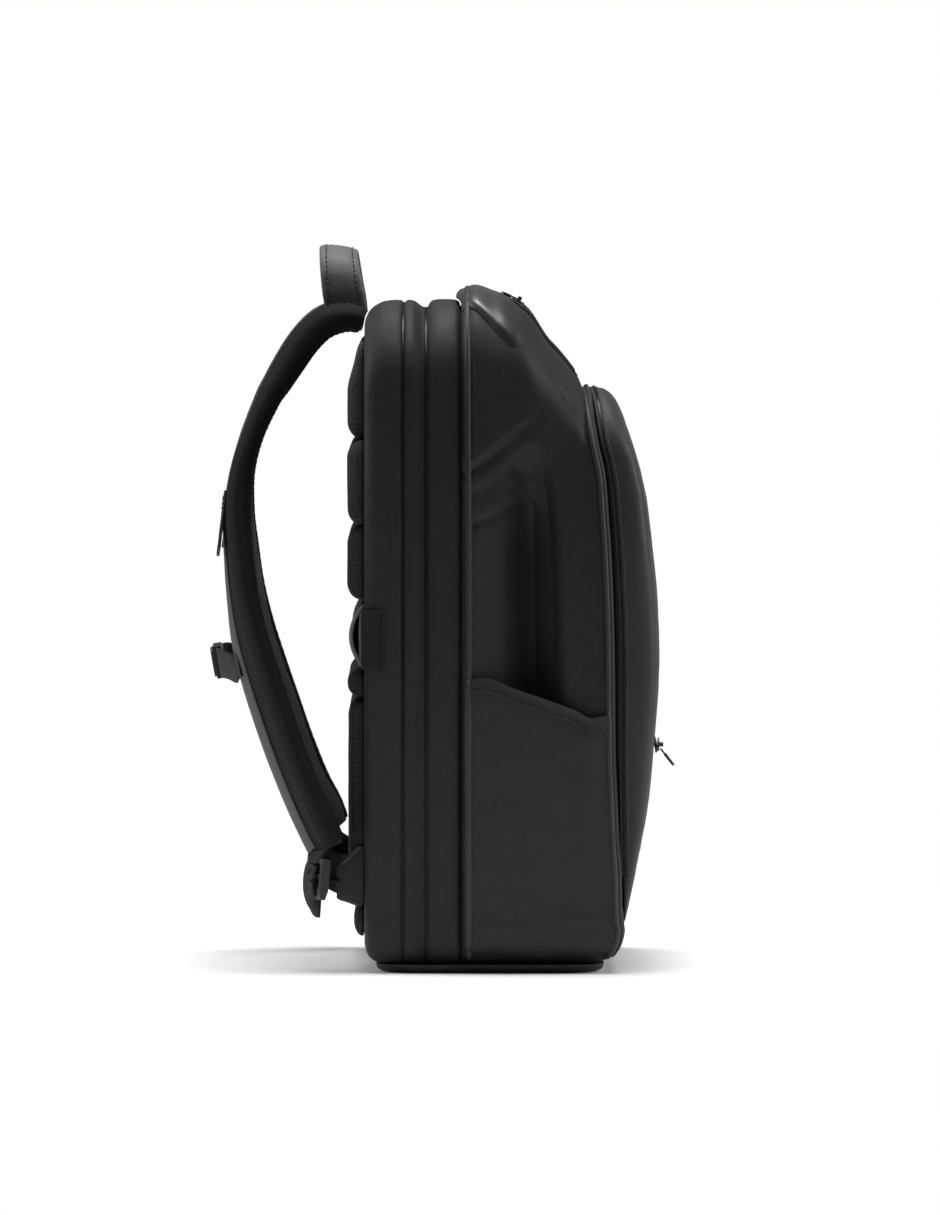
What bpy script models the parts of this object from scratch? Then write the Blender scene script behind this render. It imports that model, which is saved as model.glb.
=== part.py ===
"""Laptop backpack, standing upright on its base panel.

Frame: metres, +Z up, X across the width (wearer's left is -X), the front
pocket faces -Y and the back padding and shoulder straps face +Y. The origin
is the middle of the base panel's underside. Every size below is in
millimetres and is scaled when a mesh is made.
"""
import math

import bmesh
import bpy
from mathutils import Vector

for old in list(bpy.data.objects):
    bpy.data.objects.remove(old, do_unlink=True)

MM = 0.001

# ------------------------------------------------------------------ sizes
GAP = 0.4                 # clearance between neighbouring pieces
BASE_THICK = 6.0          # moulded base panel
SHELL_FLOOR = BASE_THICK + GAP
BACK_WALL = 4.0           # foam-backed wall behind the wearer
SIDE_WALL = 3.0           # gussets and side panels
POCKET_WALL = 2.6         # front pocket cloth with its thin foam
HALF_BOTTOM = 150.0       # half width of the body at the floor
HALF_TOP = 146.0          # half width of the body at the top
SIDE_BULGE = 6.0          # how far a side bellies out at mid height
CORNER_LOW = 26.0         # corner radius at the floor, seen from the front
CORNER_HIGH = 58.0        # corner radius at the top, seen from the front
REAR_Y = 20.3             # seam between the middle gusset and the front body
RECESS = 24.0             # depth of the hollow behind each bottle pocket
WEB_THICK = 1.6

# points round half a section: floor, low corner, side, high corner, top
N_FLOOR, N_LOW, N_SIDE, N_HIGH, N_TOP = 2, 3, 8, 5, 2

# ------------------------------------------------------------- short tables
# body sections behind the front body: y, top height, floor height, inset of the side
BACK_ROWS = [
    dict(y=88.2, top=455.0, floor=19.5, inset=7.0),
    dict(y=85.6, top=460.5, floor=13.0, inset=3.5),
    dict(y=81.0, top=464.5, floor=7.4, inset=1.2),
    dict(y=75.0, top=468.4, floor=SHELL_FLOOR, inset=0.0),
    dict(y=61.2, top=469.0, floor=SHELL_FLOOR, inset=0.0),
]
REAR_GUSSET_ROWS = [
    dict(y=60.8, top=469.0, floor=SHELL_FLOOR, inset=0.0),
    dict(y=56.0, top=469.4, floor=SHELL_FLOOR, inset=-0.6),
    dict(y=51.5, top=467.0, floor=SHELL_FLOOR, inset=0.4),
    dict(y=48.0, top=464.4, floor=SHELL_FLOOR, inset=2.4),
    dict(y=45.0, top=464.4, floor=SHELL_FLOOR, inset=2.8),
]
MIDDLE_GUSSET_ROWS = [
    dict(y=44.6, top=464.4, floor=SHELL_FLOOR, inset=2.8),
    dict(y=41.5, top=468.6, floor=SHELL_FLOOR, inset=0.2),
    dict(y=31.0, top=469.4, floor=SHELL_FLOOR, inset=-0.8),
    dict(y=25.0, top=469.0, floor=SHELL_FLOOR, inset=-0.4),
    dict(y=20.8, top=468.2, floor=SHELL_FLOOR, inset=0.6),
]
# top line of the front body, under the lid
TOP_LINE = [
    dict(y=20.3, z=469.0), dict(y=17.0, z=476.0), dict(y=10.5, z=478.6),
    dict(y=-3.0, z=473.0), dict(y=-15.0, z=467.2), dict(y=-25.0, z=459.5),
    dict(y=-38.8, z=439.2), dict(y=-47.2, z=430.1), dict(y=-59.8, z=414.0),
    dict(y=-66.0, z=404.5), dict(y=-74.0, z=403.5), dict(y=-90.0, z=400.0),
]
# seam between the side panels and the front pocket, seen from the side
FRONT_SEAM = [
    dict(z=0.0, y=-76.0), dict(z=6.4, y=-80.0), dict(z=10.0, y=-84.5),
    dict(z=15.4, y=-90.3), dict(z=24.0, y=-93.8), dict(z=31.0, y=-94.8),
    dict(z=36.0, y=-93.6), dict(z=42.0, y=-93.1),
    dict(z=71.0, y=-92.4), dict(z=90.0, y=-91.0), dict(z=121.0, y=-89.6),
    dict(z=155.0, y=-88.2), dict(z=230.0, y=-87.5), dict(z=298.0, y=-85.1),
    dict(z=317.0, y=-83.7), dict(z=348.0, y=-81.2), dict(z=376.0, y=-75.3),
    dict(z=395.0, y=-72.8), dict(z=420.0, y=-70.0),
]
# front of the pocket along the middle, seen from the side
FRONT_FACE = [
    dict(z=20.0, y=-93.4), dict(z=38.5, y=-96.4), dict(z=73.5, y=-103.5),
    dict(z=106.0, y=-110.0), dict(z=142.0, y=-114.6), dict(z=167.0, y=-117.2),
    dict(z=198.0, y=-119.3), dict(z=223.0, y=-120.1), dict(z=255.0, y=-119.0),
    dict(z=286.0, y=-116.2), dict(z=317.0, y=-112.7), dict(z=337.0, y=-109.9),
    dict(z=356.0, y=-105.7), dict(z=379.0, y=-98.9), dict(z=397.0, y=-92.6),
    dict(z=407.0, y=-87.0),
]
# how far along the front body each section stands (0 at the rear seam, 1 at
# the front seam) and how much the side is drawn in there
BODY_STEPS = [
    dict(along=0.0, inset=0.8), dict(along=0.05, inset=-0.4),
    dict(along=0.18, inset=0.0), dict(along=0.32, inset=0.2),
    dict(along=0.47, inset=0.5), dict(along=0.62, inset=0.9),
    dict(along=0.76, inset=1.4), dict(along=0.88, inset=2.0),
    dict(along=0.96, inset=3.4), dict(along=1.0, inset=6.5),
]
# depth of the bottle hollow as a share of RECESS, by height and by station
HOLLOW_BY_HEIGHT = [
    dict(z=12.0, share=0.0), dict(z=30.0, share=0.30), dict(z=90.0, share=0.75),
    dict(z=180.0, share=1.0), dict(z=290.0, share=0.95), dict(z=335.0, share=0.55),
    dict(z=375.0, share=0.0),
]
HOLLOW_BY_STATION = [
    dict(along=0.05, share=0.0), dict(along=0.18, share=0.45),
    dict(along=0.32, share=0.85), dict(along=0.47, share=1.0),
    dict(along=0.62, share=1.0), dict(along=0.76, share=0.72),
    dict(along=0.88, share=0.3), dict(along=0.97, share=0.0),
]
# rim of the bottle pocket
POCKET_RIM = [
    dict(along=0.0, z=204.0), dict(along=0.12, z=205.0), dict(along=0.38, z=197.0),
    dict(along=0.6, z=186.0), dict(along=0.8, z=178.5), dict(along=0.9, z=180.0),
    dict(along=1.0, z=186.0),
]
# padded rows up the back, each built left and right of the air channel
BACK_PAD_ROWS = [
    dict(name="top", low=374.2, high=443.0, proud=11.6, crest=0.45),
    dict(name="upper", low=314.0, high=373.6, proud=11.6, crest=1.0),
    dict(name="middle", low=261.5, high=313.4, proud=11.6, crest=1.0),
    dict(name="lumbar", low=193.5, high=212.6, proud=11.4, crest=1.0),
    dict(name="lower", low=49.0, high=193.1, proud=10.8, crest=1.0),
    dict(name="foot", low=25.0, high=48.6, proud=6.8, crest=1.0),
]
PAD_INNER, PAD_OUTER = 11.0, 132.0
# shoulder strap down its middle line: height, distance behind the origin,
# distance from the centre plane, width, thickness, turn about its own line
STRAP_ROWS = [
    dict(z=456.6, y=89.2, x=50, wide=62, thick=18.0, turn=0),
    dict(z=458.6, y=100.0, x=50, wide=63, thick=19.5, turn=0),
    dict(z=457.0, y=110.5, x=51, wide=64, thick=21.0, turn=0),
    dict(z=451.5, y=121.0, x=53, wide=65, thick=21.5, turn=0),
    dict(z=440.8, y=131.2, x=55, wide=66, thick=21.5, turn=0),
    dict(z=427.3, y=140.4, x=58, wide=68, thick=20.5, turn=0),
    dict(z=413.5, y=149.0, x=62, wide=69, thick=18.5, turn=0),
    dict(z=400.0, y=157.0, x=66, wide=70, thick=16.0, turn=0),
    dict(z=372.5, y=168.8, x=75, wide=70, thick=13.5, turn=0),
    dict(z=344.5, y=176.2, x=84, wide=70, thick=14.0, turn=0),
    dict(z=316.5, y=178.2, x=92, wide=69, thick=15.5, turn=3),
    dict(z=289.0, y=176.2, x=100, wide=68, thick=16.0, turn=6),
    dict(z=261.0, y=173.0, x=107, wide=66, thick=16.0, turn=9),
    dict(z=233.0, y=168.0, x=112, wide=63, thick=15.5, turn=15),
    dict(z=205.0, y=159.9, x=117, wide=61, thick=15.5, turn=18),
    dict(z=177.0, y=150.6, x=121, wide=60, thick=15.5, turn=19),
    dict(z=149.0, y=140.6, x=124, wide=58, thick=15.5, turn=19),
    dict(z=121.0, y=129.2, x=127, wide=57, thick=15.5, turn=19),
    dict(z=101.0, y=119.2, x=129, wide=55, thick=17.0, turn=19),
    dict(z=87.0, y=113.0, x=130, wide=48, thick=16.0, turn=19),
]
# carrying handle, one leg to the crown: across, height, how far it leans back
HANDLE_ROWS = [
    dict(x=52.5, z=469.3, y=101.6, wide=31, thick=5.0),
    dict(x=53.0, z=479.0, y=103.2, wide=31, thick=5.0),
    dict(x=50.5, z=490.0, y=104.6, wide=30, thick=5.2),
    dict(x=42.5, z=499.5, y=105.6, wide=29, thick=5.4),
    dict(x=29.0, z=504.6, y=106.2, wide=28, thick=5.6),
    dict(x=14.0, z=505.6, y=106.4, wide=28, thick=5.6),
    dict(x=0.0, z=505.8, y=106.4, wide=28, thick=5.6),
]

# ------------------------------------------------------------- materials


def material(name, colour, rough, metal=0.0):
    m = bpy.data.materials.new(name)
    m.use_nodes = True
    shader = m.node_tree.nodes["Principled BSDF"]
    shader.inputs["Base Color"].default_value = (*colour, 1.0)
    shader.inputs["Roughness"].default_value = rough
    shader.inputs["Metallic"].default_value = metal
    m.diffuse_color = (*colour, 1.0)
    return m


SHELL_CLOTH = material("shell_cloth", (0.030, 0.030, 0.033), 0.72)
PANEL_CLOTH = material("panel_cloth", (0.045, 0.045, 0.048), 0.62)
POCKET_CLOTH = material("pocket_cloth", (0.034, 0.034, 0.037), 0.70)
MESH_CLOTH = material("mesh_cloth", (0.014, 0.014, 0.016), 0.85)
STRAP_CLOTH = material("strap_cloth", (0.018, 0.018, 0.020), 0.75)
WEBBING = material("webbing", (0.020, 0.020, 0.022), 0.60)
ZIP_TAPE = material("zip_tape", (0.010, 0.010, 0.011), 0.65)
BUCKLE = material("buckle_plastic", (0.016, 0.016, 0.017), 0.35)
BASE_PLASTIC = material("base_plastic", (0.014, 0.014, 0.015), 0.50)
ZIP_METAL = material("zip_metal", (0.10, 0.10, 0.11), 0.38, 0.9)
HANDLE_CLOTH = material("handle_cloth", (0.055, 0.055, 0.060), 0.60)


# --------------------------------------------------------------- helpers


def read(rows, given, wanted, value):
    """A table's wanted column at a value of its given column, in straight runs."""
    rows = sorted(rows, key=lambda row: row[given])
    if value <= rows[0][given]:
        return rows[0][wanted]
    for low, high in zip(rows, rows[1:]):
        if value <= high[given]:
            part = (value - low[given]) / (high[given] - low[given])
            return low[wanted] + (high[wanted] - low[wanted]) * part
    return rows[-1][wanted]


def half_section(floor, top, half_low, half_high, r_low, r_high, bulge):
    """Right half of a rounded, slightly bellied section, as (x, z), floor to top."""
    pts = []
    for i in range(N_FLOOR):
        pts.append(((half_low - r_low) * i / N_FLOOR, floor))
    for i in range(N_LOW):
        a = math.radians(-90 + 90 * i / N_LOW)
        pts.append((half_low - r_low + r_low * math.cos(a), floor + r_low + r_low * math.sin(a)))
    for i in range(N_SIDE):
        t = i / N_SIDE
        pts.append((
            half_low + (half_high - half_low) * t + bulge * math.sin(math.pi * t),
            floor + r_low + (top - r_high - floor - r_low) * t,
        ))
    for i in range(N_HIGH):
        a = math.radians(90 * i / N_HIGH)
        pts.append((half_high - r_high + r_high * math.cos(a), top - r_high + r_high * math.sin(a)))
    for i in range(N_TOP + 1):
        pts.append(((half_high - r_high) * (1 - i / N_TOP), top))
    return pts


def whole(half):
    """Both halves of a section from its right half."""
    return half + [(-x, z) for x, z in reversed(half[1:-1])]


class Builder:
    """Collects rings of points and joins them into one closed mesh."""

    def __init__(self):
        self.points, self.faces = [], []

    def ring(self, pts):
        start = len(self.points)
        self.points += [Vector(p) for p in pts]
        return list(range(start, start + len(pts)))

    def join(self, a, b, closed=True):
        n = len(a)
        for i in range(n if closed else n - 1):
            j = (i + 1) % n
            self.faces.append((a[i], a[j], b[j], b[i]))

    def fan(self, ring, centre):
        mid = len(self.points)
        self.points.append(Vector(centre))
        for i in range(len(ring)):
            self.faces.append((ring[i], ring[(i + 1) % len(ring)], mid))

    def finish(self, name, mat, sharp=40.0):
        mesh = bpy.data.meshes.new(name)
        mesh.from_pydata([p * MM for p in self.points], [], self.faces)
        work = bmesh.new()
        work.from_mesh(mesh)
        bmesh.ops.recalc_face_normals(work, faces=work.faces)
        work.to_mesh(mesh)
        work.free()
        mesh.materials.append(mat)
        mesh.shade_smooth()
        mesh.set_sharp_from_angle(angle=math.radians(sharp))
        ob = bpy.data.objects.new(name, mesh)
        bpy.context.scene.collection.objects.link(ob)
        return ob


def middle(points):
    total = Vector((0, 0, 0))
    for p in points:
        total += Vector(p)
    return total / len(points)


# ------------------------------------------------------- rear body sections


def rear_section(row, wall=0.0, y=None):
    half = half_section(
        row["floor"] + wall, row["top"] - wall,
        HALF_BOTTOM - row["inset"] - wall, HALF_TOP - row["inset"] - wall,
        CORNER_LOW - wall, CORNER_HIGH - wall, SIDE_BULGE,
    )
    y = row["y"] if y is None else y
    return [(x, y, z) for x, z in whole(half)]


def hoop(name, rows, wall, mat):
    """An open band of the body: outer skin, inner skin and the two rims."""
    b = Builder()
    outer = [b.ring(rear_section(r)) for r in rows]
    inset = max(r["inset"] for r in rows)
    low = dict(rows[0], inset=inset, top=min(r["top"] for r in rows))
    inner = [b.ring(rear_section(low, wall, y)) for y in (rows[0]["y"], rows[-1]["y"])]
    for a, c in zip(outer, outer[1:]):
        b.join(a, c)
    b.join(inner[0], inner[1])
    b.join(outer[0], inner[0])
    b.join(outer[-1], inner[-1])
    return b.finish(name, mat)


def back_shell():
    b = Builder()
    outer = [b.ring(rear_section(r)) for r in BACK_ROWS]
    for a, c in zip(outer, outer[1:]):
        b.join(a, c)
    first, last = BACK_ROWS[0], BACK_ROWS[-1]
    b.fan(outer[0], (0, first["y"], 230))
    deep = first["y"] - BACK_WALL
    step = dict(first, floor=16.0, top=458.0, inset=4.0)
    inner = [
        b.ring(rear_section(step, BACK_WALL, deep)),
        b.ring(rear_section(last, SIDE_WALL, 78.0)),
        b.ring(rear_section(last, SIDE_WALL, last["y"])),
    ]
    b.fan(inner[0], (0, deep, 230))
    for a, c in zip(inner, inner[1:]):
        b.join(a, c)
    b.join(outer[-1], inner[-1])
    return b.finish("back_shell", SHELL_CLOTH)


# ------------------------------------------------------- front body sections


def seam_y(z):
    return read(FRONT_SEAM, "z", "y", z)


def station(along):
    """Where the section at a share of the way to the front seam meets the top."""
    y = REAR_Y + (-72.0 - REAR_Y) * along
    for _ in range(12):
        z = read(TOP_LINE, "y", "z", y)
        y = REAR_Y + (seam_y(z) - REAR_Y) * along
    return read(TOP_LINE, "y", "z", y)


def side_inset(along):
    return read(BODY_STEPS, "along", "inset", along)


def hollow(along, z):
    return RECESS * read(HOLLOW_BY_STATION, "along", "share", along) * read(
        HOLLOW_BY_HEIGHT, "z", "share", z)


def body_section(along, wall=0.0, with_hollow=True, front=0.0):
    """One section of the front body, its points leaning with the front seam."""
    inset = side_inset(along)
    top = station(along)
    floor = SHELL_FLOOR + (3.0 if along > 0.99 else 0.0)
    corner = CORNER_HIGH - 12.0 * along
    half = half_section(
        floor + wall, top - wall, HALF_BOTTOM - inset - wall, HALF_TOP - inset - wall,
        CORNER_LOW - wall, corner - wall, SIDE_BULGE * (1 - 0.5 * along),
    )
    pts = []
    for x, z in whole(half):
        y = REAR_Y + (seam_y(z) + front - REAR_Y) * along
        if with_hollow and abs(x) > 100:
            x -= math.copysign(hollow(along, z), x)
        pts.append((x, y, z))
    return pts


def front_shell():
    b = Builder()
    steps = [row["along"] for row in BODY_STEPS]
    outer = [b.ring(body_section(s)) for s in steps]
    inner = [b.ring(body_section(s, SIDE_WALL, front=SIDE_WALL)) for s in steps]
    for a, c in zip(outer, outer[1:]):
        b.join(a, c)
    for a, c in zip(inner, inner[1:]):
        b.join(a, c)
    b.join(outer[0], inner[0])
    # front wall, drawn in towards its middle in two steps
    for rings, wall in ((outer, 0.0), (inner, SIDE_WALL)):
        last = [b.points[i] for i in rings[-1]]
        mid_z = 205.0
        previous = rings[-1]
        for share in (0.62,):
            pts = []
            for p in last:
                z = mid_z + (p.z - mid_z) * share
                pts.append((p.x * share, seam_y(z) + wall, z))
            ring = b.ring(pts)
            b.join(previous, ring)
            previous = ring
        b.fan(previous, (0, seam_y(mid_z) + wall, mid_z))
    return b.finish("front_shell", SHELL_CLOTH)


def top_slope(y):
    """Sine and cosine of the slant of the top line, averaged over a short stretch."""
    rise = read(TOP_LINE, "y", "z", y + 7.0) - read(TOP_LINE, "y", "z", y - 7.0)
    n = math.hypot(rise, 14.0)
    return rise / n, 14.0 / n


def lid_panel():
    """Top cover of the front body, over its crown and both rounded shoulders."""
    b = Builder()
    lift_in, lift_out = GAP, GAP + 3.0
    steps = [0.03, 0.05, 0.18, 0.32, 0.47, 0.62, 0.76, 0.88, 0.96]
    first = N_FLOOR + N_LOW + N_SIDE
    count = 2 * (N_HIGH + N_TOP) + 1
    inner, outer = [], []
    for s in steps:
        section = body_section(s, with_hollow=False)
        arc = section[first:first + count]
        lean, stand = top_slope(section[len(section) // 2][1])
        back = 3.0 if s < 0.04 else 0.0
        for lift, rings in ((lift_in, inner), (lift_out, outer)):
            pts = []
            for k, (x, y, z) in enumerate(arc):
                t = k / (count - 1)
                a = min(max((t * count - 0.5) / N_HIGH, 0.0), 1.0)
                c = min(max(((1 - t) * count - 0.5) / N_HIGH, 0.0), 1.0)
                up = min(a, c)
                side = math.copysign(math.cos(up * math.pi / 2), x)
                rise = math.sin(up * math.pi / 2)
                pts.append((
                    x + side * (lift + 0.5),
                    y + (back - lean * lift) * rise,
                    z + rise * (lift * stand + 0.6),
                ))
            rings.append(b.ring(pts))
    for rings in (inner, outer):
        for a, c in zip(rings, rings[1:]):
            b.join(a, c, closed=False)
    for i in (0, -1):
        b.join(inner[i], outer[i], closed=False)
    for k in (0, count - 1):
        b.join([r[k] for r in inner], [r[k] for r in outer], closed=False)
    return b.finish("lid_panel", PANEL_CLOTH)


def pocket_shape(share, wall=0.0, depth=0.0):
    """Outline of the front pocket shrunk to a share, pushed forward by a depth."""
    half = half_section(
        34.0 + wall, 406.0 - wall, 140.0 - wall, 135.5 - wall, 34.0 - wall, 46.0 - wall, 2.0)
    mid_z = 215.0
    pts = []
    for x, z in whole(half):
        x, z = x * share, mid_z + (z - mid_z) * share
        seam, face = seam_y(z) - 0.9, read(FRONT_FACE, "z", "y", z)
        reach = max(seam - (face + wall), 0.6)
        pts.append((x, seam - reach * depth, z))
    return pts


def front_pocket():
    b = Builder()
    curve = [(1.0, 0.0), (0.998, 0.45), (0.985, 0.74), (0.945, 0.90), (0.74, 0.98), (0.38, 1.0)]
    outer = [b.ring(pocket_shape(s, 0.0, d)) for s, d in curve]
    inner = [b.ring(pocket_shape(s, POCKET_WALL, d)) for s, d in curve]
    for rings, wall in ((outer, 0.0), (inner, POCKET_WALL)):
        for a, c in zip(rings, rings[1:]):
            b.join(a, c)
        b.fan(rings[-1], (0, read(FRONT_FACE, "z", "y", 215.0) + wall, 215.0))
    b.join(outer[0], inner[0])
    return b.finish("front_pocket", PANEL_CLOTH)


def base_panel():
    b = Builder()
    rows = [dict(z=0.0, inset=5.0), dict(z=1.6, inset=1.4), dict(z=BASE_THICK, inset=0.0)]
    rings = []
    for row in rows:
        hx, y0, y1, r = 142.0 - row["inset"], -80.0 + row["inset"], 80.0 - row["inset"], 26.0
        pts = []
        for cx, cy, start in ((hx - r, y1 - r, 0), (-hx + r, y1 - r, 90),
                              (-hx + r, y0 + r, 180), (hx - r, y0 + r, 270)):
            for i in range(5):
                a = math.radians(start + 90 * i / 4)
                pts.append((cx + r * math.cos(a), cy + r * math.sin(a), row["z"]))
        rings.append(b.ring(pts))
    for a, c in zip(rings, rings[1:]):
        b.join(a, c)
    b.fan(rings[0], (0, 0, 0))
    b.fan(rings[-1], (0, 0, BASE_THICK))
    return b.finish("base_panel", BASE_PLASTIC, 30)


# ------------------------------------------------------------- side pockets


def side_x(along, z):
    """Half width of the side panel without its hollow."""
    top = station(along)
    corner = CORNER_HIGH - 12.0 * along
    low, high = SHELL_FLOOR + CORNER_LOW, top - corner
    t = min(max((z - low) / (high - low), 0.0), 1.0)
    x = HALF_BOTTOM + (HALF_TOP - HALF_BOTTOM) * t - side_inset(along)
    x += SIDE_BULGE * (1 - 0.5 * along) * math.sin(math.pi * t)
    if z < low:
        x -= CORNER_LOW - math.sqrt(max(CORNER_LOW ** 2 - (low - z) ** 2, 0.0))
    return x


def bottle_pocket(name, sign):
    b = Builder()
    columns, thick = 9, 2.0
    inner, outer = [], []
    for v in (0.0, 0.03, 0.065, 0.11, 0.28, 0.48, 0.68, 0.85, 1.0):
        for lift, rings in ((1.1, inner), (1.1 + thick, outer)):
            pts = []
            for k in range(columns + 1):
                u = k / columns
                along = 0.025 + 0.945 * u
                rim = read(POCKET_RIM, "along", "z", along)
                z = 15.0 + (rim - 15.0) * v
                belly = 3.2 * math.sin(math.pi * u) ** 0.7 * math.sin(math.pi * min(v + 0.25, 1.0) * 0.62)
                x = side_x(along, z) + lift + belly
                y = REAR_Y + (seam_y(z) - REAR_Y) * along
                pts.append((sign * x, y, z))
            rings.append(b.ring(pts))
    for rings in (inner, outer):
        for a, c in zip(rings, rings[1:]):
            b.join(a, c, closed=False)
    for i in (0, -1):
        b.join(inner[i], outer[i], closed=False)
    for k in (0, columns):
        b.join([r[k] for r in inner], [r[k] for r in outer], closed=False)
    return b.finish(name, POCKET_CLOTH)


# ---------------------------------------------------------------- back side


def back_pad(name, sign, row):
    """A pillow of the back padding with rounded corners and a soft edge."""
    b = Builder()
    base = BACK_ROWS[0]["y"] + GAP
    x0, x1, z0, z1 = PAD_INNER, PAD_OUTER, row["low"], row["high"]
    steps = [(0.0, 0.0), (0.62, 0.0), (0.88, 2.0), (1.0, 6.5)]
    rings = []
    for share, inset in steps:
        r = max(min(9.0, (z1 - z0) / 2 - 1) - inset, 1.0)
        ax, bx, az, bz = x0 + inset, x1 - inset, z0 + inset, z1 - inset
        if row["high"] > 440:
            bx -= 12.0
        pts = []
        for cx, cz, start in ((bx - r, bz - r, 0), (ax + r, bz - r, 90),
                              (ax + r, az + r, 180), (bx - r, az + r, 270)):
            for i in range(3):
                a = math.radians(start + 45 * i)
                rise = row["proud"] * (row["crest"] if cz > (z0 + z1) / 2 else 1.0)
                pts.append((sign * (cx + r * math.cos(a)), base + rise * share, cz + r * math.sin(a)))
        rings.append(b.ring(pts))
    for a, c in zip(rings, rings[1:]):
        b.join(a, c)
    mid = ((x0 + x1) / 2 * sign, base, (z0 + z1) / 2)
    b.fan(rings[0], mid)
    b.fan(rings[-1], (mid[0], base + row["proud"] + 0.2, mid[2]))
    return b.finish(name, MESH_CLOTH, 60)


def luggage_band():
    """Flat sleeve across the back, sewn along its two long edges, bowed off the back and open at both sides."""
    b = Builder()
    base = BACK_ROWS[0]["y"] + GAP
    low, high, reach, rise, thick = 214.5, 258.5, 134.0, 7.8, 1.6
    half, mid = (high - low) / 2, (high + low) / 2
    shares = [-1 + 2 * i / 10 for i in range(11)]
    rings = []
    for x in (-reach, -reach / 2, 0.0, reach / 2, reach):
        outer = [(x, base + thick + rise * (1 - u * u), mid + half * u) for u in shares]
        inner = [(x, base + rise * (1 - u * u), mid + half * u) for u in reversed(shares)]
        rings.append(b.ring(outer + inner))
    for a, c in zip(rings, rings[1:]):
        b.join(a, c)
    n = len(shares)
    for ring in (rings[0], rings[-1]):
        for k in range(n - 1):
            b.faces.append((ring[k], ring[k + 1], ring[2 * n - 2 - k], ring[2 * n - 1 - k]))
    return b.finish("luggage_band", WEBBING)


# ------------------------------------------------------------------- straps


def frames(rows, sign):
    """Middle point, line direction, width direction and outward direction down a strap."""
    mids = [Vector((sign * r["x"], r["y"], r["z"])) for r in rows]
    out = []
    for i, row in enumerate(rows):
        line = (mids[min(i + 1, len(rows) - 1)] - mids[max(i - 1, 0)]).normalized()
        across = Vector((1, 0, 0))
        across = (across - line * across.dot(line)).normalized()
        outward = across.cross(line).normalized()
        if outward.y + outward.z * 0.4 < 0:
            outward = -outward
        a = math.radians(row["turn"]) * -sign
        # the outer face turns towards the wearer's side of the bag
        new_across = across * math.cos(a) + outward * math.sin(a)
        new_outward = outward * math.cos(a) - across * math.sin(a)
        out.append((mids[i], line, new_across, new_outward))
    return out


def strap_point(rows, sign, z, across, out):
    """A point of the strap at a height, by shares of its half width and half thickness."""
    fr = frames(rows, sign)
    for i in range(len(rows) - 1):
        if rows[i]["z"] >= z >= rows[i + 1]["z"]:
            t = (rows[i]["z"] - z) / (rows[i]["z"] - rows[i + 1]["z"])
            mid = fr[i][0].lerp(fr[i + 1][0], t)
            wide = rows[i]["wide"] + (rows[i + 1]["wide"] - rows[i]["wide"]) * t
            thick = rows[i]["thick"] + (rows[i + 1]["thick"] - rows[i]["thick"]) * t
            ac = fr[i][2].lerp(fr[i + 1][2], t).normalized()
            ou = fr[i][3].lerp(fr[i + 1][3], t).normalized()
            return mid + ac * across * wide / 2 + ou * (thick / 2 * math.copysign(1, out) + out)
    return fr[-1][0]


def shoulder_strap(name, sign):
    b = Builder()
    rings = []
    for row, (mid, line, across, outward) in zip(STRAP_ROWS, frames(STRAP_ROWS, sign)):
        hw, ht = row["wide"] / 2, row["thick"] / 2
        edge = ht * 0.8
        shape = [
            (hw, 0.25), (hw - edge * 0.45, 0.85), (hw * 0.45, 1.0), (-hw * 0.45, 1.0),
            (-hw + edge * 0.45, 0.85), (-hw, 0.25), (-hw + edge * 0.3, -0.75),
            (-hw * 0.5, -1.0), (hw * 0.5, -1.0), (hw - edge * 0.3, -0.75),
        ]
        rings.append(b.ring([mid + across * u + outward * ht * v for u, v in shape]))
    for a, c in zip(rings, rings[1:]):
        b.join(a, c)
    for ring in (rings[0], rings[-1]):
        b.fan(ring, middle([b.points[i] for i in ring]))
    return b.finish(name, STRAP_CLOTH, 60)


def band(name, line, wide_dirs, wide, thick, mat):
    """A flat band through points, each with its width direction."""
    b = Builder()
    line = [Vector(p) for p in line]
    rings = []
    for i, mid in enumerate(line):
        along = (line[min(i + 1, len(line) - 1)] - line[max(i - 1, 0)]).normalized()
        w = Vector(wide_dirs[i])
        w = (w - along * w.dot(along)).normalized()
        n = along.cross(w)
        rings.append(b.ring([
            mid + w * wide / 2 + n * thick / 2, mid - w * wide / 2 + n * thick / 2,
            mid - w * wide / 2 - n * thick / 2, mid + w * wide / 2 - n * thick / 2,
        ]))
    for a, c in zip(rings, rings[1:]):
        b.join(a, c)
    b.faces.append(tuple(rings[0]))
    b.faces.append(tuple(rings[-1]))
    return b.finish(name, mat, 30)


def slab(name, centre, axes, sizes, mat, soften=0.0):
    """A block with its own axes and softened upright edges."""
    b = Builder()
    centre = Vector(centre)
    ax, ay, az = (Vector(a).normalized() for a in axes)
    hx, hy, hz = (s / 2 for s in sizes)
    c = soften
    flat = [(hx, -hy + c), (hx, hy - c), (hx - c, hy), (-hx + c, hy), (-hx, hy - c),
            (-hx, -hy + c), (-hx + c, -hy), (hx - c, -hy)] if c else [
        (hx, -hy), (hx, hy), (-hx, hy), (-hx, -hy)]
    low = b.ring([centre + ax * x + ay * y - az * hz for x, y in flat])
    high = b.ring([centre + ax * x + ay * y + az * hz for x, y in flat])
    b.join(low, high)
    b.faces.append(tuple(low))
    b.faces.append(tuple(high))
    return b.finish(name, mat, 30)


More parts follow.
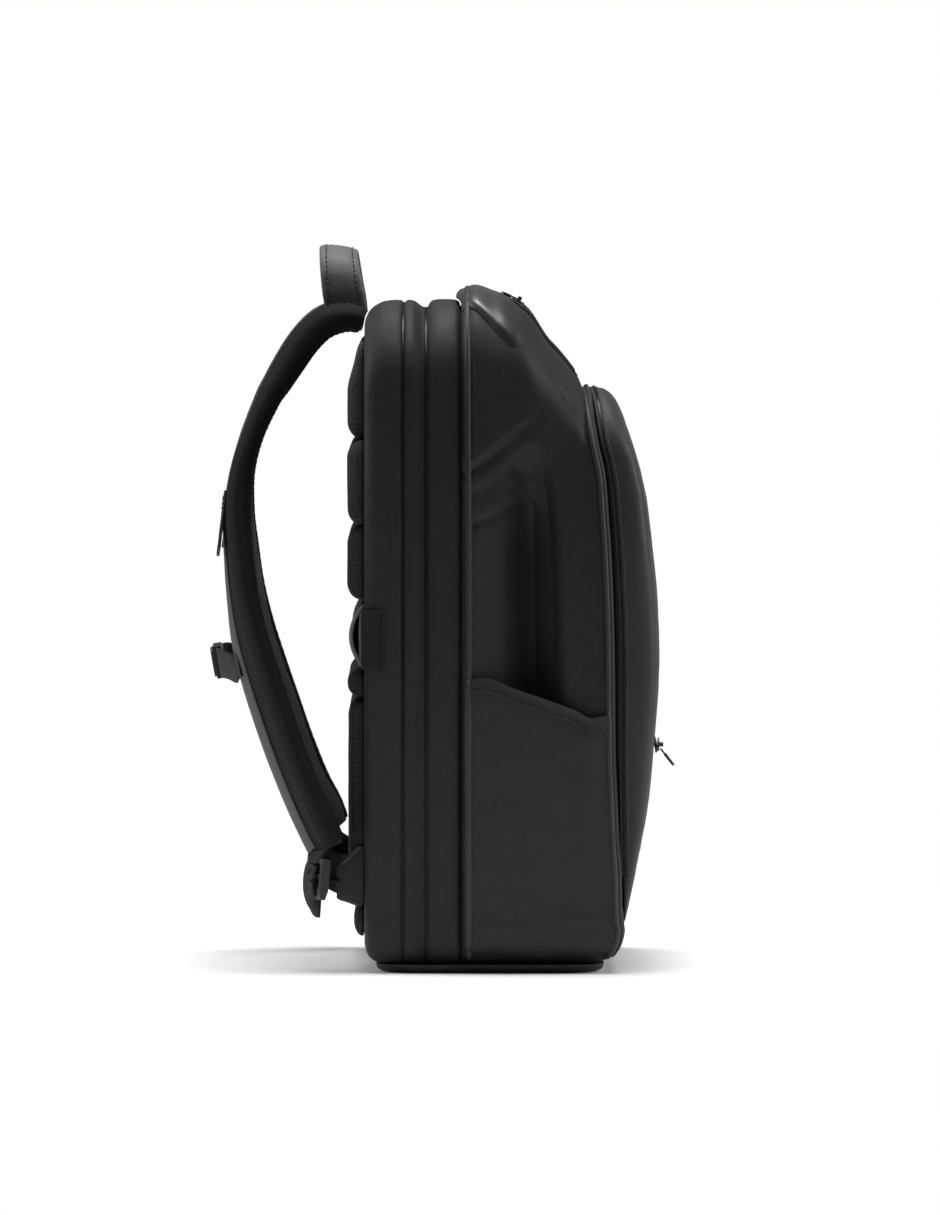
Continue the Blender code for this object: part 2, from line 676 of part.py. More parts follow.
def ladder_lock(name, centre, axes, mat):
    """Three-bar webbing buckle: a plate with two slots."""
    b = Builder()
    centre = Vector(centre)
    ax, ay, az = (Vector(a).normalized() for a in axes)
    xs = [-17.0, -13.0, 13.0, 17.0]
    ys = [-16.0, -12.0, -5.0, -0.5, 6.5, 13.0]
    holes = {(1, 1), (1, 3)}
    half = 4.0
    grid = {}
    for level, h in ((0, -half), (1, half)):
        for i, x in enumerate(xs):
            for j, y in enumerate(ys):
                grid[level, i, j] = len(b.points)
                b.points.append(centre + ax * x + ay * y + az * h)
    solid = {(i, j) for i in range(3) for j in range(5)} - holes
    for i, j in sorted(solid):
        for level in (0, 1):
            b.faces.append(tuple(grid[level, i + a, j + c] for a, c in ((0, 0), (1, 0), (1, 1), (0, 1))))
        for di, dj, edge in ((-1, 0, ((0, 0), (0, 1))), (1, 0, ((1, 0), (1, 1))),
                             (0, -1, ((0, 0), (1, 0))), (0, 1, ((0, 1), (1, 1)))):
            if (i + di, j + dj) not in solid:
                (a, c), (d, e) = edge
                b.faces.append((grid[0, i + a, j + c], grid[0, i + d, j + e],
                                grid[1, i + d, j + e], grid[1, i + a, j + c]))
    return b.finish(name, mat, 30)


def grab_handle():
    b = Builder()
    rows = [dict(r, x=-r["x"]) for r in HANDLE_ROWS] + list(reversed(HANDLE_ROWS[:-1]))
    mids = [Vector((r["x"], r["y"], r["z"])) for r in rows]
    rings = []
    for i, row in enumerate(rows):
        line = (mids[min(i + 1, len(rows) - 1)] - mids[max(i - 1, 0)]).normalized()
        wide = Vector((0, 1, 0.12))
        wide = (wide - line * wide.dot(line)).normalized()
        out = line.cross(wide)
        hw, ht = row["wide"] / 2, row["thick"] / 2
        shape = [(1.0, 0.35), (0.82, 1.0), (-0.82, 1.0), (-1.0, 0.35),
                 (-1.0, -0.35), (-0.82, -1.0), (0.82, -1.0), (1.0, -0.35)]
        rings.append(b.ring([mids[i] + wide * hw * u + out * ht * v for u, v in shape]))
    for a, c in zip(rings, rings[1:]):
        b.join(a, c)
    b.faces.append(tuple(rings[0]))
    b.faces.append(tuple(rings[-1]))
    return b.finish("grab_handle", HANDLE_CLOTH, 60)


# ----------------------------------------------------------------- zip lines


def zip_hoop(name, y0, y1, row):
    """A thin zip band lying round the body over the joint between two pieces."""
    b = Builder()
    outer, inner = [], []
    for lift, rings in ((GAP, inner), (GAP + 1.2, outer)):
        for y in (y0, y1):
            grown = dict(row, inset=row["inset"] - lift, top=row["top"] + lift, floor=row["floor"])
            pts = rear_section(grown, 0.0, y)
            keep = pts[N_FLOOR + N_LOW:len(pts) - N_FLOOR - N_LOW + 1]
            rings.append(b.ring(keep))
    b.join(inner[0], inner[1], closed=False)
    b.join(outer[0], outer[1], closed=False)
    b.join(inner[0], outer[0], closed=False)
    b.join(inner[1], outer[1], closed=False)
    for k in (0, -1):
        b.faces.append((inner[0][k], inner[1][k], outer[1][k], outer[0][k]))
    return b.finish(name, ZIP_TAPE)


def lid_z(y):
    """Height of the lid's outer face along the middle, a little above its facets."""
    lean, stand = top_slope(y)
    return read(TOP_LINE, "y", "z", y + 3.4 * lean) + 3.4 * stand + 1.1


def top_zip():
    """Zip of the lid: up one edge of the slope, across under the crown, down the other."""
    reach, turn = 84.0, 14.0
    ys = [-66.0, -58.0, -49.7, -41.3, -34.0]
    pts = [(-reach, y) for y in ys]
    for i in range(4):
        a = math.radians(180 - 30 * i)
        pts.append((-reach + turn + turn * math.cos(a), -34.0 + turn * math.sin(a)))
    pts += [(-40.0, -20.0), (0.0, -20.0)]
    pts += [(-x, y) for x, y in reversed(pts[:-1])]
    b = Builder()
    rings = []
    for i, (x, y) in enumerate(pts):
        px, py = pts[max(i - 1, 0)]
        qx, qy = pts[min(i + 1, len(pts) - 1)]
        n = math.hypot(qx - px, qy - py)
        nx, ny = -(qy - py) / n, (qx - px) / n
        ring = []
        for side, lift in ((3.0, 0.7), (-3.0, 0.7), (-3.0, 1.9), (3.0, 1.9)):
            sx, sy = x + nx * side, y + ny * side
            ring.append((sx, sy - 0.3 * lift, lid_z(sy) + lift))
        rings.append(b.ring(ring))
    for a, c in zip(rings, rings[1:]):
        b.join(a, c)
    b.faces.append(tuple(rings[0]))
    b.faces.append(tuple(rings[-1]))
    return b.finish("top_zip", ZIP_TAPE, 30)


def face_point(x, z, lift=0.0):
    """A point on the front pocket's face, lifted off it."""
    half = 138.0
    share = min(abs(x) / half, 1.0)
    curve = [dict(s=0.0, d=1.0), dict(s=0.38, d=1.0), dict(s=0.74, d=0.98),
             dict(s=0.945, d=0.90), dict(s=0.985, d=0.74), dict(s=1.0, d=0.0)]
    depth = read(curve, "s", "d", share)
    seam, face = seam_y(z) - GAP, read(FRONT_FACE, "z", "y", z)
    return Vector((x, seam + (face - seam) * depth - lift, z))


def front_face_zip():
    """Zip straight across the front pocket."""
    b = Builder()
    rings = []
    count = 12
    for i in range(count + 1):
        x = -96.0 + 192.0 * i / count
        ring = []
        for dz, lift in ((-3.0, 1.0), (3.0, 1.0), (3.0, 2.4), (-3.0, 2.4)):
            p = face_point(x, 157.0 + dz, lift)
            ring.append(p)
        rings.append(b.ring(ring))
    for a, c in zip(rings, rings[1:]):
        b.join(a, c)
    b.faces.append(tuple(rings[0]))
    b.faces.append(tuple(rings[-1]))
    return b.finish("front_face_zip", ZIP_TAPE, 30)


def front_rim_zip():
    """Zip round the front pocket, lying on its gusset beside the front seam."""
    b = Builder()
    first = N_FLOOR + N_LOW
    rings = []
    for lift, depth in ((0.5, 0.06), (0.5, 0.30), (1.7, 0.30), (1.7, 0.06)):
        half = half_section(34.0 - lift, 406.0 + lift, 140.0 + lift, 135.5 + lift, 34.0, 46.0, 2.0)
        pts = []
        for x, z in whole(half)[first:len(whole(half)) - first + 1]:
            seam, face = seam_y(z) - GAP, read(FRONT_FACE, "z", "y", z)
            reach = max(seam - face, 0.6)
            pts.append((x, seam - reach * depth, z))
        rings.append(b.ring(pts))
    for i in range(4):
        b.join(rings[i], rings[(i + 1) % 4], closed=False)
    for k in (0, -1):
        b.faces.append(tuple(r[k] for r in rings))
    return b.finish("front_rim_zip", ZIP_TAPE)


# -------------------------------------------------------------------- build

back_shell()
hoop("rear_gusset", REAR_GUSSET_ROWS, SIDE_WALL, SHELL_CLOTH)
hoop("middle_gusset", MIDDLE_GUSSET_ROWS, SIDE_WALL, SHELL_CLOTH)
front_shell()
lid_panel()
front_pocket()
base_panel()
zip_hoop("laptop_zip", 63.2, 58.6, dict(top=469.2, floor=SHELL_FLOOR, inset=-0.5))
zip_hoop("expansion_zip", 46.6, 43.0, dict(top=467.2, floor=SHELL_FLOOR, inset=1.2))
top_zip()
front_face_zip()
front_rim_zip()

for side, sign in (("L", -1), ("R", 1)):
    bottle_pocket(f"bottle_pocket_{side}", sign)
    for row in BACK_PAD_ROWS:
        back_pad(f"back_pad_{row['name']}_{side}", sign, row)
    shoulder_strap(f"shoulder_strap_{side}", sign)

    # keeper tab standing off the outer face of the strap
    tab = [strap_point(STRAP_ROWS, sign, z, 0.0, out) for z, out in
           ((332.0, 2.2), (322.0, 2.4), (312.0, 3.2), (303.0, 4.8), (295.5, 6.6))]
    band(f"strap_tab_{side}", tab, [(1, 0, 0)] * len(tab), 22.0, 2.6, WEBBING)

    # chest strap: webbing from the strap's inner edge to the buckle
    start = strap_point(STRAP_ROWS, sign, 214.0, -0.35 * sign, 1.6)
    edge = strap_point(STRAP_ROWS, sign, 214.0, -0.95 * sign, 1.8)
    web = [start, edge, Vector((sign * 66.0, 186.4, 213.6)), Vector((sign * 44.0, 190.2, 213.6)),
           Vector((sign * 22.6, 191.9, 213.6))]
    band(f"sternum_webbing_{side}", web, [(0, 0.30, 1)] * len(web), 18.0, WEB_THICK, WEBBING)

    # lower adjuster: buckle, its webbing to the body, free tail and sewn wing
    lock_mid = Vector((sign * 131.0, 121.2, 64.6))
    lock_line = Vector((0, 0.10, -0.995)).normalized()
    lock_out = Vector((0, 0.995, 0.10)).normalized()
    ladder_lock(f"ladder_lock_{side}", lock_mid, ((1, 0, 0), lock_line, lock_out), BUCKLE)
    web = [(sign * 131.0, 115.4, 66.6), (sign * 131.0, 112.6, 65.0), (sign * 131.0, 109.4, 64.0)]
    band(f"adjuster_webbing_{side}", web, [(1, 0, 0)] * 3, 22.0, WEB_THICK, WEBBING)
    tail = [(sign * 131.0, 128.6, 73.0), (sign * 131.0, 129.9, 62.0), (sign * 131.0, 129.2, 52.4),
            (sign * 131.0, 122.6, 46.4)]
    band(f"webbing_tail_{side}", tail, [(1, 0, 0)] * 4, 22.0, WEB_THICK, WEBBING)
    wing = [(sign * 137.0, 88.9, 68.0), (sign * 137.0, 98.0, 67.0), (sign * 137.0, 107.6, 64.5)]
    b = Builder()
    rings = []
    for (x, y, z), tall, wide in zip(wing, (41.0, 38.0, 24.0), (5.0, 5.0, 4.0)):
        rings.append(b.ring([(x + wide / 2, y, z + tall / 2), (x - wide / 2, y, z + tall / 2),
                             (x - wide / 2, y, z - tall / 2), (x + wide / 2, y, z - tall / 2)]))
    for a, c in zip(rings, rings[1:]):
        b.join(a, c)
    b.faces.append(tuple(rings[0]))
    b.faces.append(tuple(rings[-1]))
    b.finish(f"strap_anchor_{side}", SHELL_CLOTH, 30)

luggage_band()
grab_handle()

# chest buckle, tilted down towards its free face
slab("sternum_buckle", (0, 192.2, 213.8), ((1, 0, 0), (0, 0.33, 0.944), (0, 0.944, -0.33)),
     (44.0, 20.5, 9.6), BUCKLE, 3.0)

# sliders and pulls of the lid zip and of the front zip
zip_top = lid_z(-20.0)
slab("top_zip_slider", (-62.0, -20.6, zip_top + 4.6), ((1, 0, 0), (0, 1, 0.5), (0, -0.5, 1)),
     (11.0, 7.0, 3.2), ZIP_METAL, 1.0)
slab("top_zip_pull", (-62.0, -12.2, zip_top + 8.6), ((1, 0, 0), (0, 1, 0.62), (0, -0.62, 1)),
     (7.0, 11.0, 1.6), ZIP_METAL, 1.0)
slide = face_point(-62.0, 157.0, 4.6)
slab("front_zip_slider", slide, ((1, 0, 0), (0, 0, 1), (0, 1, 0)), (11.0, 7.0, 2.8), ZIP_METAL, 1.0)
slab("front_zip_pull", slide + Vector((0, -5.2, -9.8)), ((1, 0, 0), (0, -0.68, -0.73), (0, 0.73, -0.68)),
     (7.0, 15.0, 1.4), ZIP_METAL, 1.0)
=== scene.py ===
"""The looks of the laptop backpack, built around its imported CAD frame.

Every soft piece is modelled again at full detail in the place of its CAD
solid: sewn cloth shells with rolled edges and seam puckers, piping, zips with
teeth, stitching, padded rows, padded straps with bound edges, webbing and
moulded buckles. Sizes below are in millimetres; +Z is up, the wearer's left is
-X, the front pocket faces -Y and the straps +Y, as in the CAD.
"""
import math
import random

import bmesh
import bpy
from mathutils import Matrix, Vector, noise


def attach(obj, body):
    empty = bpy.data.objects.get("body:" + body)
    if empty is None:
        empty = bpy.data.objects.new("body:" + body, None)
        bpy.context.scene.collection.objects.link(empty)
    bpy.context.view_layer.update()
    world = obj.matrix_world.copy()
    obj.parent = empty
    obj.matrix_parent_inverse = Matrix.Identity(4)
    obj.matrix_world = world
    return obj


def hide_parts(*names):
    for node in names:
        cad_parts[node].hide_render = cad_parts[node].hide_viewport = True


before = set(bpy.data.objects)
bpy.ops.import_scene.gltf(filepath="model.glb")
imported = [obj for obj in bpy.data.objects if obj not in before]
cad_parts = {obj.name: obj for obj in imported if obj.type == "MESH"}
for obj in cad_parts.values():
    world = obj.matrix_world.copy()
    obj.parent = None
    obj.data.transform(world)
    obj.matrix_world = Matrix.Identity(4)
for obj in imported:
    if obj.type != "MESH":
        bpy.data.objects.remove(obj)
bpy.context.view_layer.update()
MM = 0.001
random.seed(7)

# ------------------------------------------------------------------ sizes
GAP = 0.4
SHELL_FLOOR = 6.4
HALF_BOTTOM, HALF_TOP, SIDE_BULGE = 150.0, 146.0, 6.0
CORNER_LOW, CORNER_HIGH = 26.0, 58.0
REAR_Y = 20.3
RECESS = 34.0
SIDE_WALL = 3.0
BACK_Y = 88.2
WEB_THICK = 1.6

# points round half a section: floor, low corner, side, high corner, top
N_FLOOR, N_LOW, N_SIDE, N_HIGH, N_TOP = 8, 14, 130, 30, 22

# ------------------------------------------------------------- short tables
# sections behind the front body: y, top height, floor height, inset of the side
BACK_ROWS = [
    dict(y=88.2, top=455.0, floor=19.5, inset=7.0),
    dict(y=87.4, top=458.3, floor=16.2, inset=5.2),
    dict(y=85.6, top=461.6, floor=11.6, inset=3.0),
    dict(y=81.0, top=465.6, floor=7.6, inset=0.9),
    dict(y=75.0, top=468.4, floor=6.4, inset=0.0),
    dict(y=67.0, top=469.2, floor=6.4, inset=-0.6),
    dict(y=63.4, top=468.9, floor=6.4, inset=-0.2),
    dict(y=62.0, top=468.0, floor=6.6, inset=0.9),
    dict(y=61.1, top=466.2, floor=7.2, inset=2.6),
]
REAR_GUSSET_ROWS = [
    dict(y=60.9, top=466.2, floor=7.2, inset=2.6),
    dict(y=60.0, top=468.2, floor=6.6, inset=0.7),
    dict(y=58.2, top=469.5, floor=6.4, inset=-0.5),
    dict(y=54.5, top=469.2, floor=6.4, inset=-0.5),
    dict(y=51.5, top=467.4, floor=6.4, inset=0.2),
    dict(y=48.2, top=464.8, floor=6.4, inset=1.6),
    dict(y=46.0, top=464.2, floor=6.6, inset=2.3),
    dict(y=45.0, top=462.8, floor=7.2, inset=4.0),
]
MIDDLE_GUSSET_ROWS = [
    dict(y=44.6, top=462.8, floor=7.2, inset=4.0),
    dict(y=43.6, top=465.6, floor=6.6, inset=1.9),
    dict(y=41.0, top=468.6, floor=6.4, inset=0.0),
    dict(y=35.5, top=469.6, floor=6.4, inset=-0.9),
    dict(y=29.0, top=469.6, floor=6.4, inset=-0.9),
    dict(y=24.0, top=469.0, floor=6.4, inset=-0.3),
    dict(y=21.8, top=467.6, floor=6.6, inset=0.9),
    dict(y=20.8, top=465.0, floor=7.4, inset=3.0),
]
TOP_LINE = [
    dict(y=20.3, z=469.0), dict(y=17.0, z=476.0), dict(y=10.5, z=478.6),
    dict(y=-3.0, z=473.0), dict(y=-15.0, z=467.2), dict(y=-25.0, z=459.5),
    dict(y=-38.8, z=439.2), dict(y=-47.2, z=430.1), dict(y=-59.8, z=414.0),
    dict(y=-66.0, z=404.5), dict(y=-74.0, z=403.5), dict(y=-90.0, z=400.0),
]
FRONT_SEAM = [
    dict(z=0.0, y=-76.0), dict(z=6.4, y=-80.0), dict(z=10.0, y=-84.5),
    dict(z=15.4, y=-90.3), dict(z=24.0, y=-93.8), dict(z=31.0, y=-94.8),
    dict(z=36.0, y=-93.6), dict(z=42.0, y=-93.1),
    dict(z=71.0, y=-92.4), dict(z=90.0, y=-91.0), dict(z=121.0, y=-89.6),
    dict(z=155.0, y=-88.2), dict(z=230.0, y=-87.5), dict(z=298.0, y=-85.1),
    dict(z=317.0, y=-83.7), dict(z=348.0, y=-81.2), dict(z=376.0, y=-75.3),
    dict(z=395.0, y=-72.8), dict(z=420.0, y=-70.0),
]
FRONT_FACE = [
    dict(z=20.0, y=-93.4), dict(z=38.5, y=-96.4), dict(z=73.5, y=-103.5),
    dict(z=106.0, y=-110.0), dict(z=142.0, y=-114.6), dict(z=167.0, y=-117.2),
    dict(z=198.0, y=-119.3), dict(z=223.0, y=-120.1), dict(z=255.0, y=-119.0),
    dict(z=286.0, y=-116.2), dict(z=317.0, y=-112.7), dict(z=337.0, y=-109.9),
    dict(z=356.0, y=-105.7), dict(z=379.0, y=-98.9), dict(z=397.0, y=-92.6),
    dict(z=407.0, y=-87.0),
]
SIDE_INSET = [
    dict(along=0.0, inset=3.4), dict(along=0.01, inset=1.2), dict(along=0.03, inset=-0.3),
    dict(along=0.08, inset=-0.4), dict(along=0.18, inset=0.0), dict(along=0.47, inset=0.5),
    dict(along=0.76, inset=1.4), dict(along=0.90, inset=2.0), dict(along=0.965, inset=2.8),
    dict(along=0.985, inset=4.4), dict(along=1.0, inset=7.0),
]
HOLLOW_BY_HEIGHT = [
    dict(z=12.0, share=0.0), dict(z=30.0, share=0.30), dict(z=90.0, share=0.75),
    dict(z=180.0, share=1.0), dict(z=290.0, share=0.95), dict(z=335.0, share=0.55),
    dict(z=375.0, share=0.0),
]
HOLLOW_BY_STATION = [
    dict(along=0.05, share=0.0), dict(along=0.16, share=0.14), dict(along=0.28, share=0.34),
    dict(along=0.36, share=0.60), dict(along=0.42, share=0.87), dict(along=0.455, share=0.97),
    dict(along=0.49, share=1.0), dict(along=0.525, share=0.97), dict(along=0.56, share=0.82),
    dict(along=0.60, share=0.50), dict(along=0.64, share=0.22), dict(along=0.69, share=0.10), dict(along=0.80, share=0.05), dict(along=0.97, share=0.0),
]
POCKET_RIM = [
    dict(along=0.0, z=202.0), dict(along=0.06, z=204.6), dict(along=0.136, z=206.2),
    dict(along=0.38, z=197.4), dict(along=0.60, z=189.0), dict(along=0.74, z=183.4),
    dict(along=0.84, z=178.0), dict(along=0.93, z=179.6), dict(along=1.0, z=182.0),
]
# where the lid's side seam runs round the shoulder: 0 is the side, 90 the top
LID_EDGE = [
    dict(along=0.0, angle=60.0), dict(along=0.10, angle=50.0), dict(along=0.25, angle=36.0),
    dict(along=0.42, angle=24.0), dict(along=0.60, angle=14.0), dict(along=0.80, angle=6.0),
    dict(along=1.0, angle=2.0),
]
BACK_PAD_ROWS = [
    dict(name="top", low=374.2, high=443.0, proud=11.6, crest=0.45),
    dict(name="upper", low=314.0, high=373.6, proud=11.6, crest=1.0),
    dict(name="middle", low=261.5, high=313.4, proud=11.6, crest=1.0),
    dict(name="lumbar", low=193.5, high=212.6, proud=11.4, crest=1.0),
    dict(name="lower", low=49.0, high=193.1, proud=10.8, crest=1.0),
    dict(name="foot", low=25.0, high=48.6, proud=6.8, crest=1.0),
]
PAD_INNER, PAD_OUTER = 11.0, 132.0
STRAP_ROWS = [
    dict(z=456.6, y=89.2, x=50, wide=62, thick=18.0, turn=0),
    dict(z=458.6, y=100.0, x=50, wide=63, thick=19.5, turn=0),
    dict(z=457.0, y=110.5, x=51, wide=64, thick=21.0, turn=0),
    dict(z=451.5, y=121.0, x=53, wide=65, thick=21.5, turn=0),
    dict(z=440.8, y=131.2, x=55, wide=66, thick=21.5, turn=0),
    dict(z=427.3, y=140.4, x=58, wide=68, thick=20.5, turn=0),
    dict(z=413.5, y=149.0, x=62, wide=69, thick=18.5, turn=0),
    dict(z=400.0, y=157.0, x=66, wide=70, thick=16.0, turn=0),
    dict(z=372.5, y=168.8, x=75, wide=70, thick=13.5, turn=0),
    dict(z=344.5, y=176.2, x=84, wide=70, thick=14.0, turn=0),
    dict(z=316.5, y=178.2, x=92, wide=69, thick=15.5, turn=3),
    dict(z=289.0, y=176.2, x=100, wide=68, thick=16.0, turn=6),
    dict(z=261.0, y=173.0, x=107, wide=66, thick=16.0, turn=9),
    dict(z=233.0, y=168.0, x=112, wide=63, thick=15.5, turn=15),
    dict(z=205.0, y=159.9, x=117, wide=61, thick=15.5, turn=18),
    dict(z=177.0, y=150.6, x=121, wide=60, thick=15.5, turn=19),
    dict(z=149.0, y=140.6, x=124, wide=58, thick=15.5, turn=19),
    dict(z=121.0, y=129.2, x=127, wide=57, thick=15.5, turn=19),
    dict(z=101.0, y=119.2, x=129, wide=55, thick=17.0, turn=19),
    dict(z=87.0, y=113.0, x=130, wide=48, thick=16.0, turn=19),
]
HANDLE_ROWS = [
    dict(x=51.5, z=460.0, y=102.0, wide=30, thick=5.0),
    dict(x=52.5, z=469.3, y=102.6, wide=29.5, thick=5.0),
    dict(x=53.0, z=479.0, y=104.2, wide=29, thick=5.0),
    dict(x=50.5, z=490.0, y=105.6, wide=28.5, thick=5.2),
    dict(x=42.5, z=499.5, y=106.6, wide=28, thick=5.4),
    dict(x=29.0, z=504.6, y=107.0, wide=27.5, thick=5.6),
    dict(x=14.0, z=505.6, y=107.2, wide=27.5, thick=5.6),
    dict(x=0.0, z=505.8, y=107.2, wide=27.5, thick=5.6),
]
# folds of the side panel: from and to as (y, z), width, height; a dent is negative
SIDE_FOLDS = [
    dict(a=(18, 358), b=(-23, 389), wide=4.2, high=2.6),
    dict(a=(18, 350), b=(-24, 379), wide=4.6, high=-2.2),
    dict(a=(18, 342), b=(-24, 368), wide=4.2, high=1.5),
    dict(a=(-20, 353), b=(-36, 351), wide=4.5, high=-1.5),
    dict(a=(16, 334), b=(-18, 352), wide=4.0, high=-1.3),
    dict(a=(14, 322), b=(-38, 344), wide=2.8, high=2.4),
    dict(a=(12, 315), b=(-34, 337), wide=3.6, high=-2.0),
    dict(a=(-20, 441), b=(-42, 405), wide=6.0, high=1.0),
    dict(a=(-52, 407), b=(-68, 392), wide=2.4, high=1.8),
    dict(a=(-58, 402), b=(-72, 384), wide=3.0, high=-1.6),
    dict(a=(-70, 380), b=(-80, 350), wide=3.0, high=-1.0),
]
POCKET_FOLDS = [
    dict(a=(-4, 34), b=(-22, 33), wide=2.6, high=1.4),
    dict(a=(-54, 39), b=(-75, 38), wide=2.6, high=1.6),
    dict(a=(-50, 20), b=(-78, 18), wide=2.6, high=1.4),
    dict(a=(8, 150), b=(-4, 60), wide=7.0, high=0.8),
    dict(a=(-70, 160), b=(-64, 70), wide=7.5, high=0.7),
    dict(a=(-20, 60), b=(-50, 52), wide=6.0, high=-0.6),
]


# --------------------------------------------------------------- materials


def new_material(name):
    m = bpy.data.materials.new(name)
    m.use_nodes = True
    return m, m.node_tree, m.node_tree.nodes["Principled BSDF"]


def math_node(nt, op, a, b=None):
    n = nt.nodes.new("ShaderNodeMath")
    n.operation = op
    for k, v in enumerate((a, b)):
        if v is None:
            continue
        if isinstance(v, (int, float)):
            n.inputs[k].default_value = v
        else:
            nt.links.new(v, n.inputs[k])
    return n.outputs[0]


def noise_node(nt, vector, scale, detail=2.0, rough=0.5):
    n = nt.nodes.new("ShaderNodeTexNoise")
    n.inputs["Scale"].default_value = scale
    n.inputs["Detail"].default_value = detail
    n.inputs["Roughness"].default_value = rough
    nt.links.new(vector, n.inputs["Vector"])
    return n.outputs[0]


def ramp(nt, fac, stops):
    n = nt.nodes.new("ShaderNodeValToRGB")
    n.color_ramp.elements[0].position, n.color_ramp.elements[0].color = stops[0][0], (*stops[0][1], 1)
    n.color_ramp.elements[1].position, n.color_ramp.elements[1].color = stops[-1][0], (*stops[-1][1], 1)
    for at, colour in stops[1:-1]:
        e = n.color_ramp.elements.new(at)
        e.color = (*colour, 1)
    nt.links.new(fac, n.inputs[0])
    return n.outputs[0]


def remap(nt, value, a, b, c, d):
    n = nt.nodes.new("ShaderNodeMapRange")
    for k, v in enumerate((a, b, c, d), 1):
        n.inputs[k].default_value = v
    nt.links.new(value, n.inputs[0])
    return n.outputs[0]


def bump(nt, shader, height, strength, distance):
    n = nt.nodes.new("ShaderNodeBump")
    n.inputs["Strength"].default_value = strength
    n.inputs["Distance"].default_value = distance
    nt.links.new(height, n.inputs["Height"])
    nt.links.new(n.outputs[0], shader.inputs["Normal"])


def woven(nt, coord, pitch):
    """Crossing threads of uneven run: a small up-and-down that works on a face of any direction."""
    drift = math_node(nt, "MULTIPLY", noise_node(nt, coord, 75, 2, 0.5), 26.0)
    split = nt.nodes.new("ShaderNodeSeparateXYZ")
    nt.links.new(coord, split.inputs[0])
    total = None
    for k in range(3):
        turn = math_node(nt, "MULTIPLY", split.outputs[k], 2 * math.pi / (pitch * 0.6 * MM))
        wave = math_node(nt, "SINE", math_node(nt, "ADD", turn, drift))
        total = wave if total is None else math_node(nt, "ADD", total, wave)
    return math_node(nt, "MULTIPLY", total, 0.33)


def grey(v, warm=0.0):
    return (v * (1 + warm), v, v * (1.04 - warm))


def cloth(name, tone, pitch=1.1, rough=0.72, sheen=0.25, sheen_rough=0.35, contrast=0.35, height=0.35, spec=0.35, coat_end_and_shade=None):
    """Woven polyester: thread relief, flecks of lighter yarn, slow fading and rub marks.
    The last argument is (y from, y to, tone share): a cloth whose rubbed, shiny coat ends towards the front, its colour
    darkened there by the tone share as painted shade."""
    m, nt, sh = new_material(name)
    coord = nt.nodes.new("ShaderNodeTexCoord").outputs["Object"]
    threads = woven(nt, coord, pitch)
    fleck = noise_node(nt, coord, 1500, 2, 0.7)
    slub = noise_node(nt, coord, 240, 3, 0.6)
    slow = noise_node(nt, coord, 14, 3, 0.55)
    mix = math_node(nt, "ADD", math_node(nt, "MULTIPLY", threads, 0.08),
                    math_node(nt, "MULTIPLY", fleck, 0.42))
    mix = math_node(nt, "ADD", mix, math_node(nt, "MULTIPLY", slub, 0.22))
    mix = math_node(nt, "ADD", mix, math_node(nt, "MULTIPLY", slow, 0.36))
    colour = ramp(nt, mix, [(0.28, grey(tone * (1 - contrast))), (0.5, grey(tone)), (0.74, grey(tone * (1 + contrast * 1.25)))])
    rubbed = remap(nt, slow, 0.3, 0.7, rough - 0.07, rough + 0.07)
    if coat_end_and_shade:
        # towards the front the colour is scaled down by the tone share, painted shade on the lid's slope, and the coat
        # weight ends there
        split = nt.nodes.new("ShaderNodeSeparateXYZ")
        nt.links.new(coord, split.inputs[0])
        share = remap(nt, split.outputs[1], coat_end_and_shade[1] * MM, coat_end_and_shade[0] * MM, coat_end_and_shade[2], 1.0)
        scale = nt.nodes.new("ShaderNodeVectorMath")
        scale.operation = "SCALE"
        nt.links.new(colour, scale.inputs[0])
        nt.links.new(share, scale.inputs["Scale"])
        colour = scale.outputs[0]
        nt.links.new(remap(nt, split.outputs[1], coat_end_and_shade[1] * MM, coat_end_and_shade[0] * MM, 0.0, 1.0), sh.inputs["Coat Weight"])
        sh.inputs["Coat Roughness"].default_value = 0.36
    nt.links.new(colour, sh.inputs["Base Color"])
    nt.links.new(rubbed, sh.inputs["Roughness"])
    relief = math_node(nt, "ADD", math_node(nt, "MULTIPLY", threads, 0.2), math_node(nt, "MULTIPLY", slub, 1.1))
    bump(nt, sh, relief, height, 0.0005)
    sh.inputs["Sheen Weight"].default_value = sheen
    sh.inputs["Sheen Roughness"].default_value = sheen_rough
    sh.inputs["Specular IOR Level"].default_value = spec
    return m


def air_mesh(name, tone, cell=3.4):
    """Spacer mesh: rows of small holes sunk into a soft knit."""
    m, nt, sh = new_material(name)
    coord = nt.nodes.new("ShaderNodeTexCoord").outputs["Object"]
    v = nt.nodes.new("ShaderNodeTexVoronoi")
    v.inputs["Scale"].default_value = 1000 / cell
    v.inputs["Randomness"].default_value = 0.35
    nt.links.new(coord, v.inputs["Vector"])
    # the holes are darkened in colour as well as sunk: painted shade inside them
    hole = remap(nt, v.outputs["Distance"], 0.12, 0.42, 0.0, 1.0)
    fleck = noise_node(nt, coord, 1300, 2, 0.7)
    slow = noise_node(nt, coord, 16, 2, 0.5)
    mix = math_node(nt, "ADD", math_node(nt, "MULTIPLY", hole, 0.55), math_node(nt, "MULTIPLY", fleck, 0.25))
    mix = math_node(nt, "ADD", mix, math_node(nt, "MULTIPLY", slow, 0.2))
    colour = ramp(nt, mix, [(0.1, grey(tone * 0.25)), (0.5, grey(tone)), (0.9, grey(tone * 1.5))])
    nt.links.new(colour, sh.inputs["Base Color"])
    relief = math_node(nt, "ADD", hole, math_node(nt, "MULTIPLY", fleck, 0.25))
    bump(nt, sh, relief, 0.7, 0.0008)
    sh.inputs["Roughness"].default_value = 0.85
    sh.inputs["Sheen Weight"].default_value = 0.05
    sh.inputs["Sheen Roughness"].default_value = 0.4
    sh.inputs["Specular IOR Level"].default_value = 0.16
    return m


